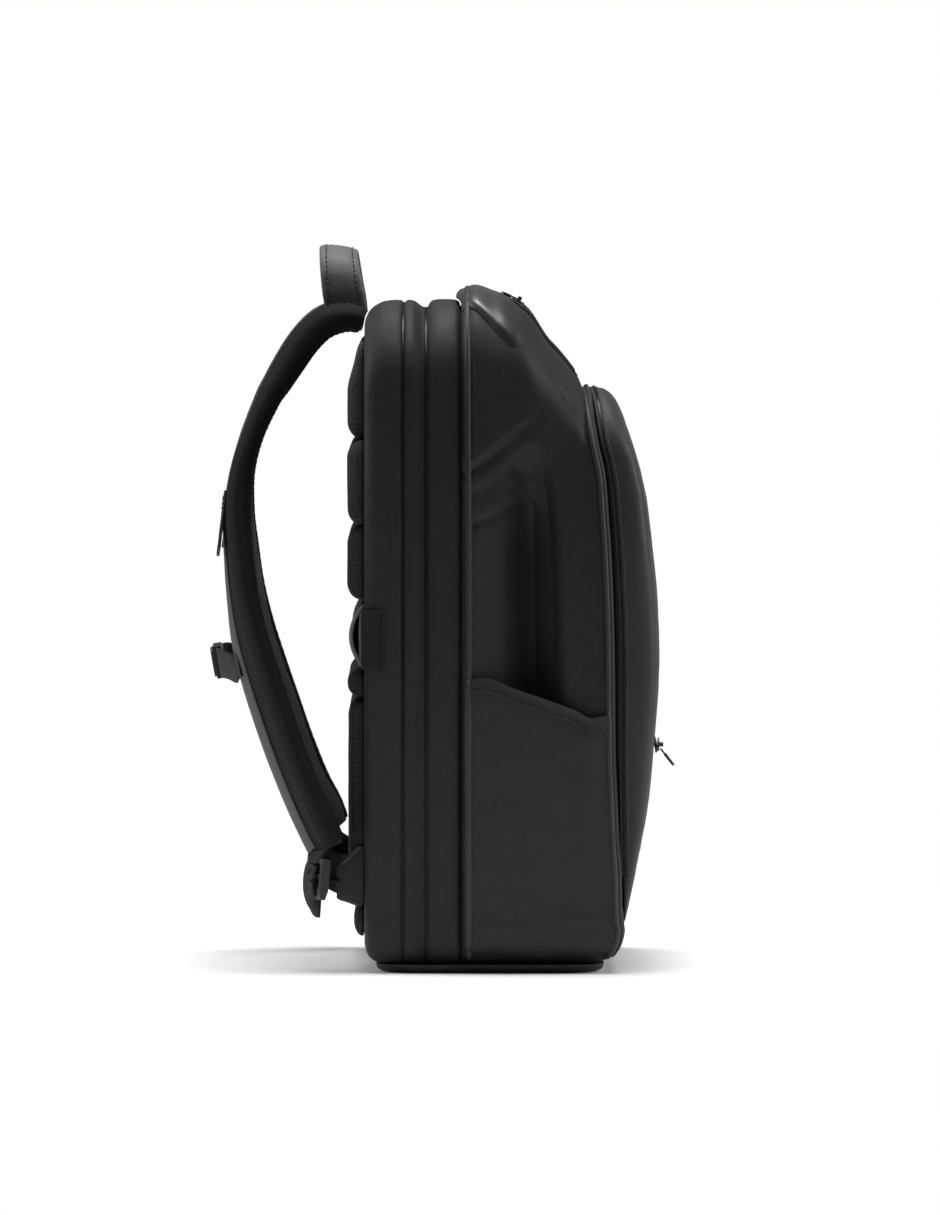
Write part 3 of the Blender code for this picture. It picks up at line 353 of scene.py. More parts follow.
def ribbed(name, tone, pitch=1.5, rough=0.6, sheen=0.04):
    """Webbing or tape: ribs straight across its run, with a finer thread in each."""
    m, nt, sh = new_material(name)
    run = nt.nodes.new("ShaderNodeAttribute")
    run.attribute_name = "run"
    coord = nt.nodes.new("ShaderNodeTexCoord").outputs["Object"]
    ribs = math_node(nt, "SINE", math_node(nt, "MULTIPLY", run.outputs["Fac"], 2 * math.pi / pitch))
    ribs = math_node(nt, "ABSOLUTE", ribs)
    fleck = noise_node(nt, coord, 1400, 2, 0.7)
    slow = noise_node(nt, coord, 30, 2, 0.5)
    mix = math_node(nt, "ADD", math_node(nt, "MULTIPLY", ribs, 0.45), math_node(nt, "MULTIPLY", fleck, 0.35))
    mix = math_node(nt, "ADD", mix, math_node(nt, "MULTIPLY", slow, 0.2))
    colour = ramp(nt, mix, [(0.2, grey(tone * 0.55)), (0.5, grey(tone)), (0.85, grey(tone * 1.45))])
    nt.links.new(colour, sh.inputs["Base Color"])
    bump(nt, sh, math_node(nt, "ADD", ribs, math_node(nt, "MULTIPLY", fleck, 0.4)), 0.55, 0.0005)
    nt.links.new(remap(nt, slow, 0.3, 0.7, rough - 0.05, rough + 0.06), sh.inputs["Roughness"])
    sh.inputs["Sheen Weight"].default_value = sheen
    sh.inputs["Sheen Roughness"].default_value = 0.35
    sh.inputs["Specular IOR Level"].default_value = 0.28
    return m


def plastic(name, tone, rough=0.38, coat=0.0):
    """Moulded acetal: fine spark texture, soft scuffs where it is rubbed."""
    m, nt, sh = new_material(name)
    coord = nt.nodes.new("ShaderNodeTexCoord").outputs["Object"]
    grain = noise_node(nt, coord, 2600, 2, 0.6)
    scuff = noise_node(nt, coord, 120, 5, 0.7)
    colour = ramp(nt, math_node(nt, "ADD", math_node(nt, "MULTIPLY", grain, 0.3), math_node(nt, "MULTIPLY", scuff, 0.7)),
                  [(0.3, grey(tone * 0.8)), (0.55, grey(tone)), (0.78, grey(tone * 1.7))])
    nt.links.new(colour, sh.inputs["Base Color"])
    nt.links.new(remap(nt, scuff, 0.35, 0.7, rough - 0.06, rough + 0.16), sh.inputs["Roughness"])
    bump(nt, sh, grain, 0.15, 0.0002)
    sh.inputs["Coat Weight"].default_value = coat
    return m


def enamelled(name, tone):
    """Zip slider: dark lacquer over cast metal, rubbed bright here and there."""
    m, nt, sh = new_material(name)
    coord = nt.nodes.new("ShaderNodeTexCoord").outputs["Object"]
    rub = noise_node(nt, coord, 420, 4, 0.65)
    worn = remap(nt, rub, 0.56, 0.72, 0.0, 1.0)
    colour = ramp(nt, worn, [(0.0, grey(tone)), (0.6, grey(tone * 1.8)), (1.0, (0.24, 0.24, 0.25))])
    nt.links.new(colour, sh.inputs["Base Color"])
    nt.links.new(remap(nt, rub, 0.3, 0.7, 0.42, 0.26), sh.inputs["Roughness"])
    nt.links.new(worn, sh.inputs["Metallic"])
    bump(nt, sh, rub, 0.08, 0.0002)
    sh.inputs["Coat Weight"].default_value = 0.4
    sh.inputs["Coat Roughness"].default_value = 0.2
    return m


SHELL = cloth("shell_weave", 0.0155, 1.1, 0.60, 0.03, 0.30, 0.28, 0.3, 0.24)
PANEL = cloth("panel_weave", 0.024, 1.1, 0.55, 0.05, 0.30, 0.28, 0.3, 0.30)
# the lid's colour darkens a little towards the front: painted shade of its slope
LID = cloth("lid_weave", 0.0145, 1.1, 0.60, 0.02, 0.30, 0.28, 0.3, 0.20, (-2.0, -24.0, 0.95))
POCKET = cloth("pocket_weave", 0.0185, 1.1, 0.60, 0.03, 0.30, 0.28, 0.3, 0.26)
HANDLE = cloth("handle_weave", 0.086, 1.3, 0.60, 0.10, 0.35, 0.25, 0.35, 0.35)
STRAP = cloth("strap_weave", 0.0098, 1.2, 0.78, 0.0, 0.28, 0.28, 0.3, 0.08)
ENDS = cloth("band_end_weave", 0.0145, 1.2, 0.75, 0.0, 0.28, 0.28, 0.3, 0.12)
MESH = air_mesh("mesh_knit", 0.021)
WEBBING = ribbed("webbing_rib", 0.0085, 1.5, 0.7, 0.02)
BINDING = ribbed("binding_rib", 0.010, 1.1, 0.60, 0.03)
RIM = ribbed("rim_rib", 0.0145, 1.1, 0.7, 0.0)
# painted highlight: the band's edge loops get a very light tone that stands in for light from behind catching them
EDGE_HIGHLIGHT = ribbed("band_edge_painted_highlight", 0.150, 1.1, 0.6, 0.05)
# painted light: the luggage band's grey tone, far above the other webbing, stands in for light from behind
SLEEVE_PAINTED_LIGHT = ribbed("sleeve_painted_light_rib", 0.060, 1.3, 0.55, 0.10)
# painted sheen: a lighter copy of the webbing laid on the strap's outer face, standing in for the light along it
SHEEN_STRIP = ribbed("strap_painted_sheen_rib", 0.040, 1.4, 0.55, 0.04)
SEAM = cloth("seam_dark", 0.004, 1.0, 0.9, 0.0, 0.3, 0.2, 0.2, 0.05)
PIPING = cloth("piping_weave", 0.026, 0.9, 0.50, 0.06, 0.30, 0.25, 0.3, 0.35)
TAPE = ribbed("zip_tape_rib", 0.008, 1.0, 0.65, 0.02)
TEETH = plastic("zip_teeth", 0.010, 0.32)
BUCKLE = plastic("buckle_acetal", 0.006, 0.50)
BASE = plastic("base_moulding", 0.006, 0.6)
METAL = enamelled("slider_enamel", 0.016)
THREAD = cloth("thread_twist", 0.020, 0.6, 0.55, 0.05, 0.3, 0.2, 0.2)


# --------------------------------------------------------------- helpers

_curves = {}


def smooth(rows, given, wanted, value):
    """A table's wanted column at a value of its given column, along a smooth curve that never overshoots."""
    key = (id(rows), given, wanted)
    if key not in _curves:
        table = sorted(rows, key=lambda row: row[given])
        xs, ys = [r[given] for r in table], [r[wanted] for r in table]
        d = [(ys[i + 1] - ys[i]) / (xs[i + 1] - xs[i]) for i in range(len(xs) - 1)]
        m = [d[0]]
        for p, q in zip(d, d[1:]):
            m.append(0.0 if p * q <= 0 else 2 * p * q / (p + q))
        m.append(d[-1])
        _curves[key] = (xs, ys, m)
    xs, ys, m = _curves[key]
    if value <= xs[0]:
        return ys[0]
    if value >= xs[-1]:
        return ys[-1]
    i = 0
    while xs[i + 1] < value:
        i += 1
    h = xs[i + 1] - xs[i]
    t = (value - xs[i]) / h
    return ((1 + 2 * t) * (1 - t) ** 2 * ys[i] + t * (1 - t) ** 2 * h * m[i]
            + t * t * (3 - 2 * t) * ys[i + 1] + t * t * (t - 1) * h * m[i + 1])


def ease(t):
    t = min(max(t, 0.0), 1.0)
    return t * t * (3 - 2 * t)


def half_section(floor, top, half_low, half_high, r_low, r_high, bulge):
    """Right half of a rounded, slightly bellied section, as (x, z), floor to top."""
    pts = []
    for i in range(N_FLOOR):
        pts.append(((half_low - r_low) * i / N_FLOOR, floor))
    for i in range(N_LOW):
        a = math.radians(-90 + 90 * i / N_LOW)
        pts.append((half_low - r_low + r_low * math.cos(a), floor + r_low + r_low * math.sin(a)))
    for i in range(N_SIDE):
        t = i / N_SIDE
        pts.append((
            half_low + (half_high - half_low) * t + bulge * math.sin(math.pi * t),
            floor + r_low + (top - r_high - floor - r_low) * t,
        ))
    for i in range(N_HIGH):
        a = math.radians(90 * i / N_HIGH)
        pts.append((half_high - r_high + r_high * math.cos(a), top - r_high + r_high * math.sin(a)))
    for i in range(N_TOP + 1):
        pts.append(((half_high - r_high) * (1 - i / N_TOP), top))
    return pts


def whole(half):
    return half + [(-x, z) for x, z in reversed(half[1:-1])]


class Builder:
    """Collects rings of points and joins them into one mesh, with each point's run along its piece."""

    def __init__(self):
        self.points, self.faces, self.run, self.mat = [], [], [], []

    def ring(self, pts, run=0.0):
        start = len(self.points)
        pts = [Vector(p) for p in pts]
        self.points += pts
        self.run += [run] * len(pts)
        return list(range(start, start + len(pts)))

    def face(self, corners, mat=0):
        self.faces.append(tuple(corners))
        self.mat.append(mat)

    def join(self, a, b, closed=True, mat=0):
        n = len(a)
        for i in range(n if closed else n - 1):
            j = (i + 1) % n
            self.face((a[i], a[j], b[j], b[i]), mat(i) if callable(mat) else mat)

    def fan(self, ring, centre, mat=0, steps=(0.5,)):
        """Closes a ring to its centre through a few smaller rings."""
        centre = Vector(centre)
        last = ring
        for s in steps:
            new = self.ring([centre.lerp(self.points[i], s) for i in ring], self.run[ring[0]])
            self.join(last, new, mat=mat)
            last = new
        mid = len(self.points)
        self.points.append(centre)
        self.run.append(self.run[ring[0]])
        for i in range(len(last)):
            self.face((last[i], last[(i + 1) % len(last)], mid), mat)

    def finish(self, name, mats, nodes=(), sharp=50.0):
        mesh = bpy.data.meshes.new(name)
        mesh.from_pydata([p * MM for p in self.points], [], self.faces)
        for m in mats if isinstance(mats, (list, tuple)) else [mats]:
            mesh.materials.append(m)
        mesh.polygons.foreach_set("material_index", self.mat)
        run = mesh.attributes.new("run", "FLOAT", "POINT")
        run.data.foreach_set("value", self.run)
        work = bmesh.new()
        work.from_mesh(mesh)
        bmesh.ops.recalc_face_normals(work, faces=work.faces)
        work.to_mesh(mesh)
        work.free()
        mesh.shade_smooth()
        mesh.set_sharp_from_angle(angle=math.radians(sharp))
        ob = bpy.data.objects.new(name, mesh)
        bpy.context.scene.collection.objects.link(ob)
        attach(ob, "root")
        if nodes:
            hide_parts(*([nodes] if isinstance(nodes, str) else nodes))
        return ob


def mean(points):
    total = Vector((0, 0, 0))
    for p in points:
        total += Vector(p)
    return total / len(points)


def grain(x, y, z, size, seed=0.0):
    """Smooth noise from -1 to 1 whose lumps are about `size` millimetres."""
    return noise.noise(Vector((x / size + seed, y / size + seed * 1.7, z / size - seed)))


def ridge(y, z, fold):
    """Height of one fold at a point of the side, a rounded ridge that dies out at both ends."""
    (ay, az), (by, bz) = fold["a"], fold["b"]
    dy, dz = by - ay, bz - az
    n = dy * dy + dz * dz
    t = ((y - ay) * dy + (z - az) * dz) / n
    far = max(-t, t - 1, 0.0) * math.sqrt(n)
    off = ((y - ay) * dz - (z - az) * dy) / math.sqrt(n)
    off += 1.2 * math.sin(t * 5.0)
    w = fold["wide"]
    return fold["high"] * math.exp(-(off / w) ** 2) * math.exp(-(far / (2.2 * w)) ** 2) * (1 - 0.35 * min(max(t, 0), 1))


def catmull(points, per=8):
    """A smooth line through points."""
    pts = [Vector(p) for p in points]
    out = []
    for i in range(len(pts) - 1):
        p0, p1, p2 = pts[max(i - 1, 0)], pts[i], pts[i + 1]
        p3 = pts[min(i + 2, len(pts) - 1)]
        for k in range(per):
            t = k / per
            out.append(0.5 * ((2 * p1) + (p2 - p0) * t + (2 * p0 - 5 * p1 + 4 * p2 - p3) * t * t
                              + (3 * p1 - p0 - 3 * p2 + p3) * t ** 3))
    out.append(pts[-1])
    return out


def lengths(points):
    run = [0.0]
    for a, b in zip(points, points[1:]):
        run.append(run[-1] + (Vector(b) - Vector(a)).length)
    return run


def along_line(points, run, s):
    """Point and direction at a length along a line."""
    s = min(max(s, 0.0), run[-1])
    i = 0
    lo, hi = 0, len(run) - 1
    while hi - lo > 1:
        mid = (lo + hi) // 2
        if run[mid] <= s:
            lo = mid
        else:
            hi = mid
    i = lo
    h = run[i + 1] - run[i] or 1e-9
    t = (s - run[i]) / h
    a, b = Vector(points[i]), Vector(points[i + 1])
    return a.lerp(b, t), (b - a).normalized(), i, t


def tube(name, path, radius, mat, nodes=(), sides=10, closed=False, squash=1.0, out=None):
    """A round or oval cord along a line, such as piping or a bound edge."""
    b = Builder()
    path = [Vector(p) for p in path]
    run = lengths(path)
    n = len(path)
    rings = []
    prev = None
    for i, p in enumerate(path):
        q = path[(i + 1) % n] if closed else path[min(i + 1, n - 1)]
        o = path[(i - 1) % n] if closed else path[max(i - 1, 0)]
        line = (q - o).normalized()
        if out is not None:
            up = Vector(out[i])
            up = (up - line * up.dot(line)).normalized()
        elif prev is None:
            up = line.orthogonal().normalized()
        else:
            up = (prev - line * prev.dot(line)).normalized()
        prev = up
        side = line.cross(up)
        r = radius(i) if callable(radius) else radius
        if not closed:
            r *= min(1.0, 0.25 + 0.75 * math.sqrt(min(run[i], run[-1] - run[i]) / (1.6 * r + 1e-6))) if min(run[i], run[-1] - run[i]) < 1.6 * r else 1.0
        rings.append(b.ring([p + side * r * math.cos(2 * math.pi * k / sides)
                             + up * r * squash * math.sin(2 * math.pi * k / sides) for k in range(sides)], run[i]))
    for a, c in zip(rings, rings[1:]):
        b.join(a, c)
    if closed:
        b.join(rings[-1], rings[0])
    else:
        for ring in (rings[0], rings[-1]):
            b.fan(ring, mean([b.points[i] for i in ring]), steps=())
    return b.finish(name, mat, nodes, 80)


def stitches(name, lines, length=2.9, gap=1.3, thick=0.5, mat=None):
    """Rows of thread: each line is (points, outward directions), each stitch a small rounded dash sunk at its ends."""
    b = Builder()
    for points, outs in lines:
        points = [Vector(p) for p in points]
        run = lengths(points)
        s = gap
        while s + length < run[-1] - gap:
            rings = []
            for t, r, sink in ((0.0, 0.35, -0.35), (0.22, 1.0, 0.0), (0.78, 1.0, 0.0), (1.0, 0.35, -0.35)):
                p, line, i, f = along_line(points, run, s + length * t)
                up = Vector(outs[i]).lerp(Vector(outs[min(i + 1, len(outs) - 1)]), f)
                up = (up - line * up.dot(line)).normalized()
                side = line.cross(up)
                w, h = thick * r, thick * 0.7 * r
                c = p + up * (0.18 + sink * thick)
                rings.append(b.ring([c + side * w, c + up * h, c - side * w, c - up * h], s))
            for a, c in zip(rings, rings[1:]):
                b.join(a, c)
            b.face(rings[0])
            b.face(rings[-1])
            s += length + gap
    return b.finish(name, mat or THREAD, (), 80)


def strip(name, points, outs, wide, thick, mat, nodes=(), crown=0.0, edge=0.8, reverse=False):
    """A flat woven band along a line, with rounded edges and a slight crown. outs point away from its upper face."""
    b = Builder()
    points = [Vector(p) for p in points]
    run = lengths(points)
    rings = []
    for i, p in enumerate(points):
        line = (points[min(i + 1, len(points) - 1)] - points[max(i - 1, 0)]).normalized()
        up = Vector(outs[i] if isinstance(outs, list) else outs)
        up = (up - line * up.dot(line)).normalized()
        side = line.cross(up)
        w = (wide(i) if callable(wide) else wide) / 2
        t = (thick(i) if callable(thick) else thick) / 2
        top = []
        for k in range(9):
            u = 1 - 2 * k / 8
            top.append((u * (w - edge * t), t + crown * (1 - u * u)))
        shape = [(w, t * 0.35)] + top + [(-w, t * 0.35), (-w, -t * 0.35)] + [(-x, -t) for x, _ in top] + [(w, -t * 0.35)]
        rings.append(b.ring([p + side * x + up * y for x, y in shape], run[i]))
    for a, c in zip(rings, rings[1:]):
        b.join(a, c)
    b.face(rings[0])
    b.face(rings[-1])
    return b.finish(name, mat, nodes, 60)


def rounded(name, build, bevel, mat, nodes=(), segments=3):
    """A moulded part: blocks joined by code, then softened edges."""
    b = Builder()
    build(b)
    ob = b.finish(name, mat, nodes, 40)
    mod = ob.modifiers.new("soft edges", "BEVEL")
    mod.width = bevel * MM
    mod.segments = segments
    mod.limit_method = "ANGLE"
    mod.angle_limit = math.radians(35)
    return ob


def block(b, centre, axes, sizes, cut=0.0, taper=1.0):
    """A block with its own axes, cut corners and an optional taper towards its top."""
    centre = Vector(centre)
    ax, ay, az = (Vector(a).normalized() for a in axes)
    hx, hy, hz = (s / 2 for s in sizes)
    c = cut
    flat = [(hx, -hy + c), (hx, hy - c), (hx - c, hy), (-hx + c, hy), (-hx, hy - c),
            (-hx, -hy + c), (-hx + c, -hy), (hx - c, -hy)] if c else [(hx, -hy), (hx, hy), (-hx, hy), (-hx, -hy)]
    low = b.ring([centre + ax * x + ay * y - az * hz for x, y in flat])
    high = b.ring([centre + ax * x * taper + ay * y * taper + az * hz for x, y in flat])
    b.join(low, high)
    b.face(low)
    b.face(high)


# ------------------------------------------------------- rear body sections


def rear_row(rows, y):
    return dict(y=y, top=smooth(rows, "y", "top", y), floor=smooth(rows, "y", "floor", y),
                inset=smooth(rows, "y", "inset", y))


def rear_section(row, wall=0.0, y=None):
    half = half_section(
        row["floor"] + wall, row["top"] - wall,
        HALF_BOTTOM - row["inset"] - wall, HALF_TOP - row["inset"] - wall,
        CORNER_LOW - wall, CORNER_HIGH - wall, SIDE_BULGE,
    )
    y = row["y"] if y is None else y
    return [(x, y, z) for x, z in whole(half)]


def outward(section):
    """Outward directions in the plane of a section, from its neighbours."""
    n = len(section)
    out = []
    for i in range(n):
        a, c = Vector(section[i - 1]), Vector(section[(i + 1) % n])
        d = c - a
        out.append(Vector((d.z, 0, -d.x)).normalized())
    if out[0].z > 0:
        out = [-o for o in out]
    return out


def steps_between(rows, fine):
    ys = sorted({r["y"] for r in rows}, reverse=True)
    out = []
    for a, c in zip(ys, ys[1:]):
        n = max(2, round((a - c) / fine))
        out += [a + (c - a) * i / n for i in range(n)]
    return out + [ys[-1]]


def soft_skin(rows, ys, seams, seed):
    """Rings of a cloth band: its smooth profile, slow unevenness, and puckers that die out away from its seams."""
    rings = []
    for y in ys:
        section = rear_section(rear_row(rows, y))
        outs = outward(section)
        ring = []
        run = 0.0
        for i, p in enumerate(section):
            p = Vector(p)
            if i:
                run += (p - Vector(section[i - 1])).length
            away = min(abs(y - s) for s in seams)
            side = ease((p.z - 8) / 14)
            move = 0.55 * grain(p.x * 0.4, y, p.z, 38, seed) + 0.22 * grain(p.x, y, p.z, 11, seed)
            move += 0.26 * math.exp(-away / 3.0) * math.sin(run / 1.5 + 2.5 * grain(p.x, y, p.z, 26, seed + 3))
            edge = min(ys[0] - y, y - ys[-1])
            ring.append(p + outs[i] * move * side * ease((edge + 0.6) / 2.5))
        rings.append(ring)
    return rings


def shell_band(name, rows, seams, seed, node, wall=SIDE_WALL):
    b = Builder()
    ys = steps_between(rows, 1.1)
    outer = [b.ring(r) for r in soft_skin(rows, ys, seams, seed)]
    worst = max(r["inset"] for r in rows)
    low = dict(top=min(r["top"] for r in rows), floor=max(r["floor"] for r in rows), inset=worst, y=0)
    inner = [b.ring(rear_section(low, wall, y)) for y in (ys[0], ys[-1])]
    for a, c in zip(outer, outer[1:]):
        b.join(a, c)
    b.join(inner[0], inner[1])
    b.join(outer[0], inner[0])
    b.join(outer[-1], inner[-1])
    return b.finish(name, SHELL, node, 70)


def back_shell():
    b = Builder()
    ys = steps_between(BACK_ROWS, 1.2)
    outer = [b.ring(r) for r in soft_skin(BACK_ROWS, ys, (61.1, 88.2), 2.0)]
    for a, c in zip(outer, outer[1:]):
        b.join(a, c)
    b.fan(outer[0], (0, BACK_Y, 230), steps=(0.8, 0.4))
    last = BACK_ROWS[-1]
    deep = dict(y=84, floor=17.0, top=456.0, inset=6.0)
    inner = [b.ring(rear_section(deep, 4.0)), b.ring(rear_section(last, SIDE_WALL, 76.0)),
             b.ring(rear_section(last, SIDE_WALL, ys[-1]))]
    b.fan(inner[0], (0, 84, 230), steps=(0.5,))
    for a, c in zip(inner, inner[1:]):
        b.join(a, c)
    b.join(outer[-1], inner[-1])
    return b.finish("back_shell_cloth", SHELL, "back_shell", 70)


# ------------------------------------------------------- front body sections


def seam_y(z):
    return smooth(FRONT_SEAM, "z", "y", z)


_station = {}


def station(along):
    key = round(along, 5)
    if key not in _station:
        y = REAR_Y + (-72.0 - REAR_Y) * along
        for _ in range(14):
            z = smooth(TOP_LINE, "y", "z", y)
            y = REAR_Y + (seam_y(z) - REAR_Y) * along
        _station[key] = smooth(TOP_LINE, "y", "z", y)
    return _station[key]


def side_inset(along):
    return smooth(SIDE_INSET, "along", "inset", along)


def hollow(along, z):
    return RECESS * smooth(HOLLOW_BY_STATION, "along", "share", along) * smooth(
        HOLLOW_BY_HEIGHT, "z", "share", z)


def corner_of(along):
    return CORNER_HIGH - 12.0 * along


def body_half(along, wall=0.0):
    inset = side_inset(along)
    floor = SHELL_FLOOR + 3.0 * ease((along - 0.96) / 0.04)
    corner = corner_of(along)
    return half_section(
        floor + wall, station(along) - wall, HALF_BOTTOM - inset - wall, HALF_TOP - inset - wall,
        CORNER_LOW - wall, corner - wall, SIDE_BULGE * (1 - 0.5 * along),
    )


def side_relief(x, y, z, along):
    """Folds, puckers and slow unevenness of a side panel, outward."""
    flip = 1 if x < 0 else -1
    move = 0.0
    for k, fold in enumerate(SIDE_FOLDS):
        move += ridge(y, z + (0 if flip > 0 else 3.0 * math.sin(k * 1.9)), fold) * (1.0 if flip > 0 else 0.8)
    # the row of small gathers where the hollow's top pulls on the panel
    (ay, az), (by, bz) = (14, 322), (-40, 344)
    t = ((y - ay) * (by - ay) + (z - az) * (bz - az)) / ((by - ay) ** 2 + (bz - az) ** 2)
    off = ((y - ay) * (bz - az) - (z - az) * (by - ay)) / math.hypot(by - ay, bz - az)
    if -0.05 < t < 1.1:
        move += 0.42 * math.sin(t * 38) * math.exp(-(off / 4.2) ** 2) * ease(t * 5) * ease((1.1 - t) * 6)
    away = min(along, 1 - along) * 105
    move += 0.7 * grain(x * 0.3, y, z, 42, 5.0) + 0.28 * grain(x, y, z, 13, 9.0)
    move += 0.30 * math.exp(-away / 3.4) * math.sin(z / 1.6 + 2.4 * grain(x, y, z, 30, 4.0))
    # upright tension lines in the hollow
    move += 0.15 * grain(x, y * 3.0, z * 0.18, 26, 13.0) * ease((z - 60) / 60) * ease((330 - z) / 60)
    return move


def body_ring(along, wall=0.0, front=0.0, relief=True):
    pts = []
    half = body_half(along, wall)
    ring = whole(half)
    flat = [(x, 0, z) for x, z in ring]
    outs = outward(flat)
    for i, (x, z) in enumerate(ring):
        y = REAR_Y + (seam_y(z) + front - REAR_Y) * along
        if abs(x) > 100:
            x2 = x - math.copysign(hollow(along, z), x)
        else:
            x2 = x
        p = Vector((x2, y, z))
        if relief:
            keep = ease((z - 9) / 12) * ease(min(along, 1 - along) / 0.012 + 0.1)
            p += outs[i] * side_relief(x, y, z, along) * keep
        pts.append(p)
    return pts


def front_stations():
    out = [0.0, 0.005, 0.01, 0.017, 0.024, 0.032]
    n = 54
    out += [0.045 + (0.93 - 0.045) * i / n for i in range(n + 1)]
    return out + [0.94, 0.95, 0.96, 0.97, 0.978, 0.985, 0.99, 0.995, 1.0]


def front_shell():
    b = Builder()
    outer = [b.ring(body_ring(s)) for s in front_stations()]
    few = (0.0, 0.1, 0.2, 0.32, 0.47, 0.62, 0.76, 0.88, 0.96, 1.0)
    inner = [b.ring(body_ring(s, SIDE_WALL + (2.0 if s in (0.0, 1.0) else 0.6), SIDE_WALL * s, False)) for s in few]
    for rings in (outer, inner):
        for a, c in zip(rings, rings[1:]):
            b.join(a, c)
    b.join(outer[0], inner[0])
    for rings, wall in ((outer, 0.0), (inner, SIDE_WALL)):
        last = [b.points[i].copy() for i in rings[-1]]
        previous = rings[-1]
        for share in (0.9, 0.62, 0.3):
            pts = []
            for p in last:
                z = 205.0 + (p.z - 205.0) * share
                pts.append((p.x * share, seam_y(z) + wall, z))
            ring = b.ring(pts)
            b.join(previous, ring)
            previous = ring
        b.fan(previous, (0, seam_y(205.0) + wall, 205.0), steps=())
    return b.finish("front_shell_cloth", SHELL, "front_shell", 70)


def top_slope(y):
    rise = smooth(TOP_LINE, "y", "z", y + 6.0) - smooth(TOP_LINE, "y", "z", y - 6.0)
    n = math.hypot(rise, 12.0)
    return rise / n, 12.0 / n


def lid_point(along, t, lift):
    """A point over the crown: t from 0 at the left seam to 1 at the right one."""
    top, r = station(along), corner_of(along)
    half = HALF_TOP - side_inset(max(along, 0.03))
    start = math.radians(smooth(LID_EDGE, "along", "angle", along))
    arc, flat = r * (math.pi / 2 - start), half - r
    total = 2 * (arc + flat)
    s = t * total
    mirror = s > total / 2
    if mirror:
        s = total - s
    if s < arc:
        a = start + s / r
        x, z, nx, nz = half - r + r * math.cos(a), top - r + r * math.sin(a), math.cos(a), math.sin(a)
    else:
        x, z, nx, nz = flat - (s - arc), top, 0.0, 1.0
    y = REAR_Y + (seam_y(z) - REAR_Y) * along
    lean, stand = top_slope(y)
    sign = 1 if mirror else -1
    normal = Vector((nx * sign, -lean * nz, stand * nz if nz > 0.02 else 0.0))
    normal.normalize()
    return Vector((x * sign, y, z)) + normal * lift, normal


def lid_cloth():
    b = Builder()
    stations = [0.012, 0.02, 0.03, 0.042, 0.055] + [0.07 + (0.93 - 0.07) * i / 46 for i in range(47)] + [0.943, 0.952, 0.958]
    count = 150
    inner, outer = [], []
    for along in stations:
        low, high = [], []
        for k in range(count + 1):
            t = k / count
            p, n = lid_point(along, t, 0.0)
            end = min(along - 0.012, 0.958 - along) * 100
            span = 2.0 * (HALF_TOP - 40)
            soft = 6.0 + 46.0 * ease((along - 0.36) / 0.3)
            edge = min(min(t, 1 - t) * span, end)
            late = ease((along - 0.40) / 0.15)
            puff = 0.5 - 1.0 * late + (0.9 + 1.7 * ease((along - 0.12) / 0.2) + 1.0 * late) * min(ease(min(t, 1 - t) * span / soft), ease(end / 6.0))
            wave = 0.45 * grain(p.x * 0.5, p.y, p.z, 34, 21.0) + 0.18 * grain(p.x, p.y, p.z, 10, 22.0)
            wave += 0.24 * math.exp(-min(t, 1 - t) * span / 3.0) * math.sin(p.y / 1.3 + 2 * grain(p.x, p.y, p.z, 20, 2.0))
            # the fold that hangs behind the crown's shoulder
            shoulder = ease((abs(p.x) - 96) / 30)
            wave += shoulder * ridge(p.y, p.z, dict(a=(8, 467), b=(-6, 458), wide=8.0, high=2.0))
            wave += shoulder * ridge(p.y, p.z, dict(a=(-16, 466), b=(-34, 440), wide=5.0, high=-1.6))
            lip = (1 - ease((along - 0.012) / 0.05)) * ease((n.z - 0.45) / 0.35) * ease((min(t, 1 - t) * span - 2.0) / 34.0)
            p = p + Vector((0, 4.4 * lip, 1.2 * lip))
            high.append(p + n * (puff + wave * ease(edge / 4.0) * (1 - 0.75 * late)))
            low.append(p + n * min(0.35, puff - 0.9))
        inner.append(b.ring(low))
        outer.append(b.ring(high))
    for rings in (inner, outer):
        for a, c in zip(rings, rings[1:]):
            b.join(a, c, closed=False)
    for i in (0, -1):
        b.join(inner[i], outer[i], closed=False)
    for k in (0, count):
        b.join([r[k] for r in inner], [r[k] for r in outer], closed=False)
    return b.finish("lid_panel_cloth", LID, "lid_panel", 70)


# ------------------------------------------------------------- front pocket

POCKET_CURVE = [
    dict(s=0.0, d=1.0), dict(s=0.38, d=0.999), dict(s=0.74, d=0.975), dict(s=0.90, d=0.925),
    dict(s=0.955, d=0.86), dict(s=0.985, d=0.74), dict(s=0.997, d=0.55), dict(s=1.0, d=0.25),
]


def pocket_outline(share, wall=0.0):
    half = half_section(
        34.0 + wall, 406.0 - wall, 140.0 - wall, 135.5 - wall, 34.0 - wall, 46.0 - wall, 2.0)
    mid_z = 215.0
    return [(x * share, mid_z + (z - mid_z) * share) for x, z in whole(half)]


def pocket_ring(share, depth, wall=0.0, relief=True):
    pts = []
    for x, z in pocket_outline(share, wall):
        seam, face = seam_y(z) - 0.9, smooth(FRONT_FACE, "z", "y", z)
        reach = max(seam - (face + wall), 0.6)
        p = Vector((x, seam - reach * depth, z))
        if relief:
            amount = ease(depth / 0.4)
            wave = 0.8 * grain(x, p.y * 0.6, z, 60, 31.0) + 0.3 * grain(x, p.y, z, 17, 33.0)
            wave += 0.28 * math.exp(-abs(depth - 0.93) / 0.02) * math.sin((abs(x) + z) / 1.6)
            p.y -= wave * amount * ease((depth - 0.5) / 0.4)
            p.x += math.copysign(0.5 * grain(x, p.y, z * 0.6, 24, 35.0) * amount, x) if abs(x) > 120 else 0.0
        pts.append(p)
    return pts


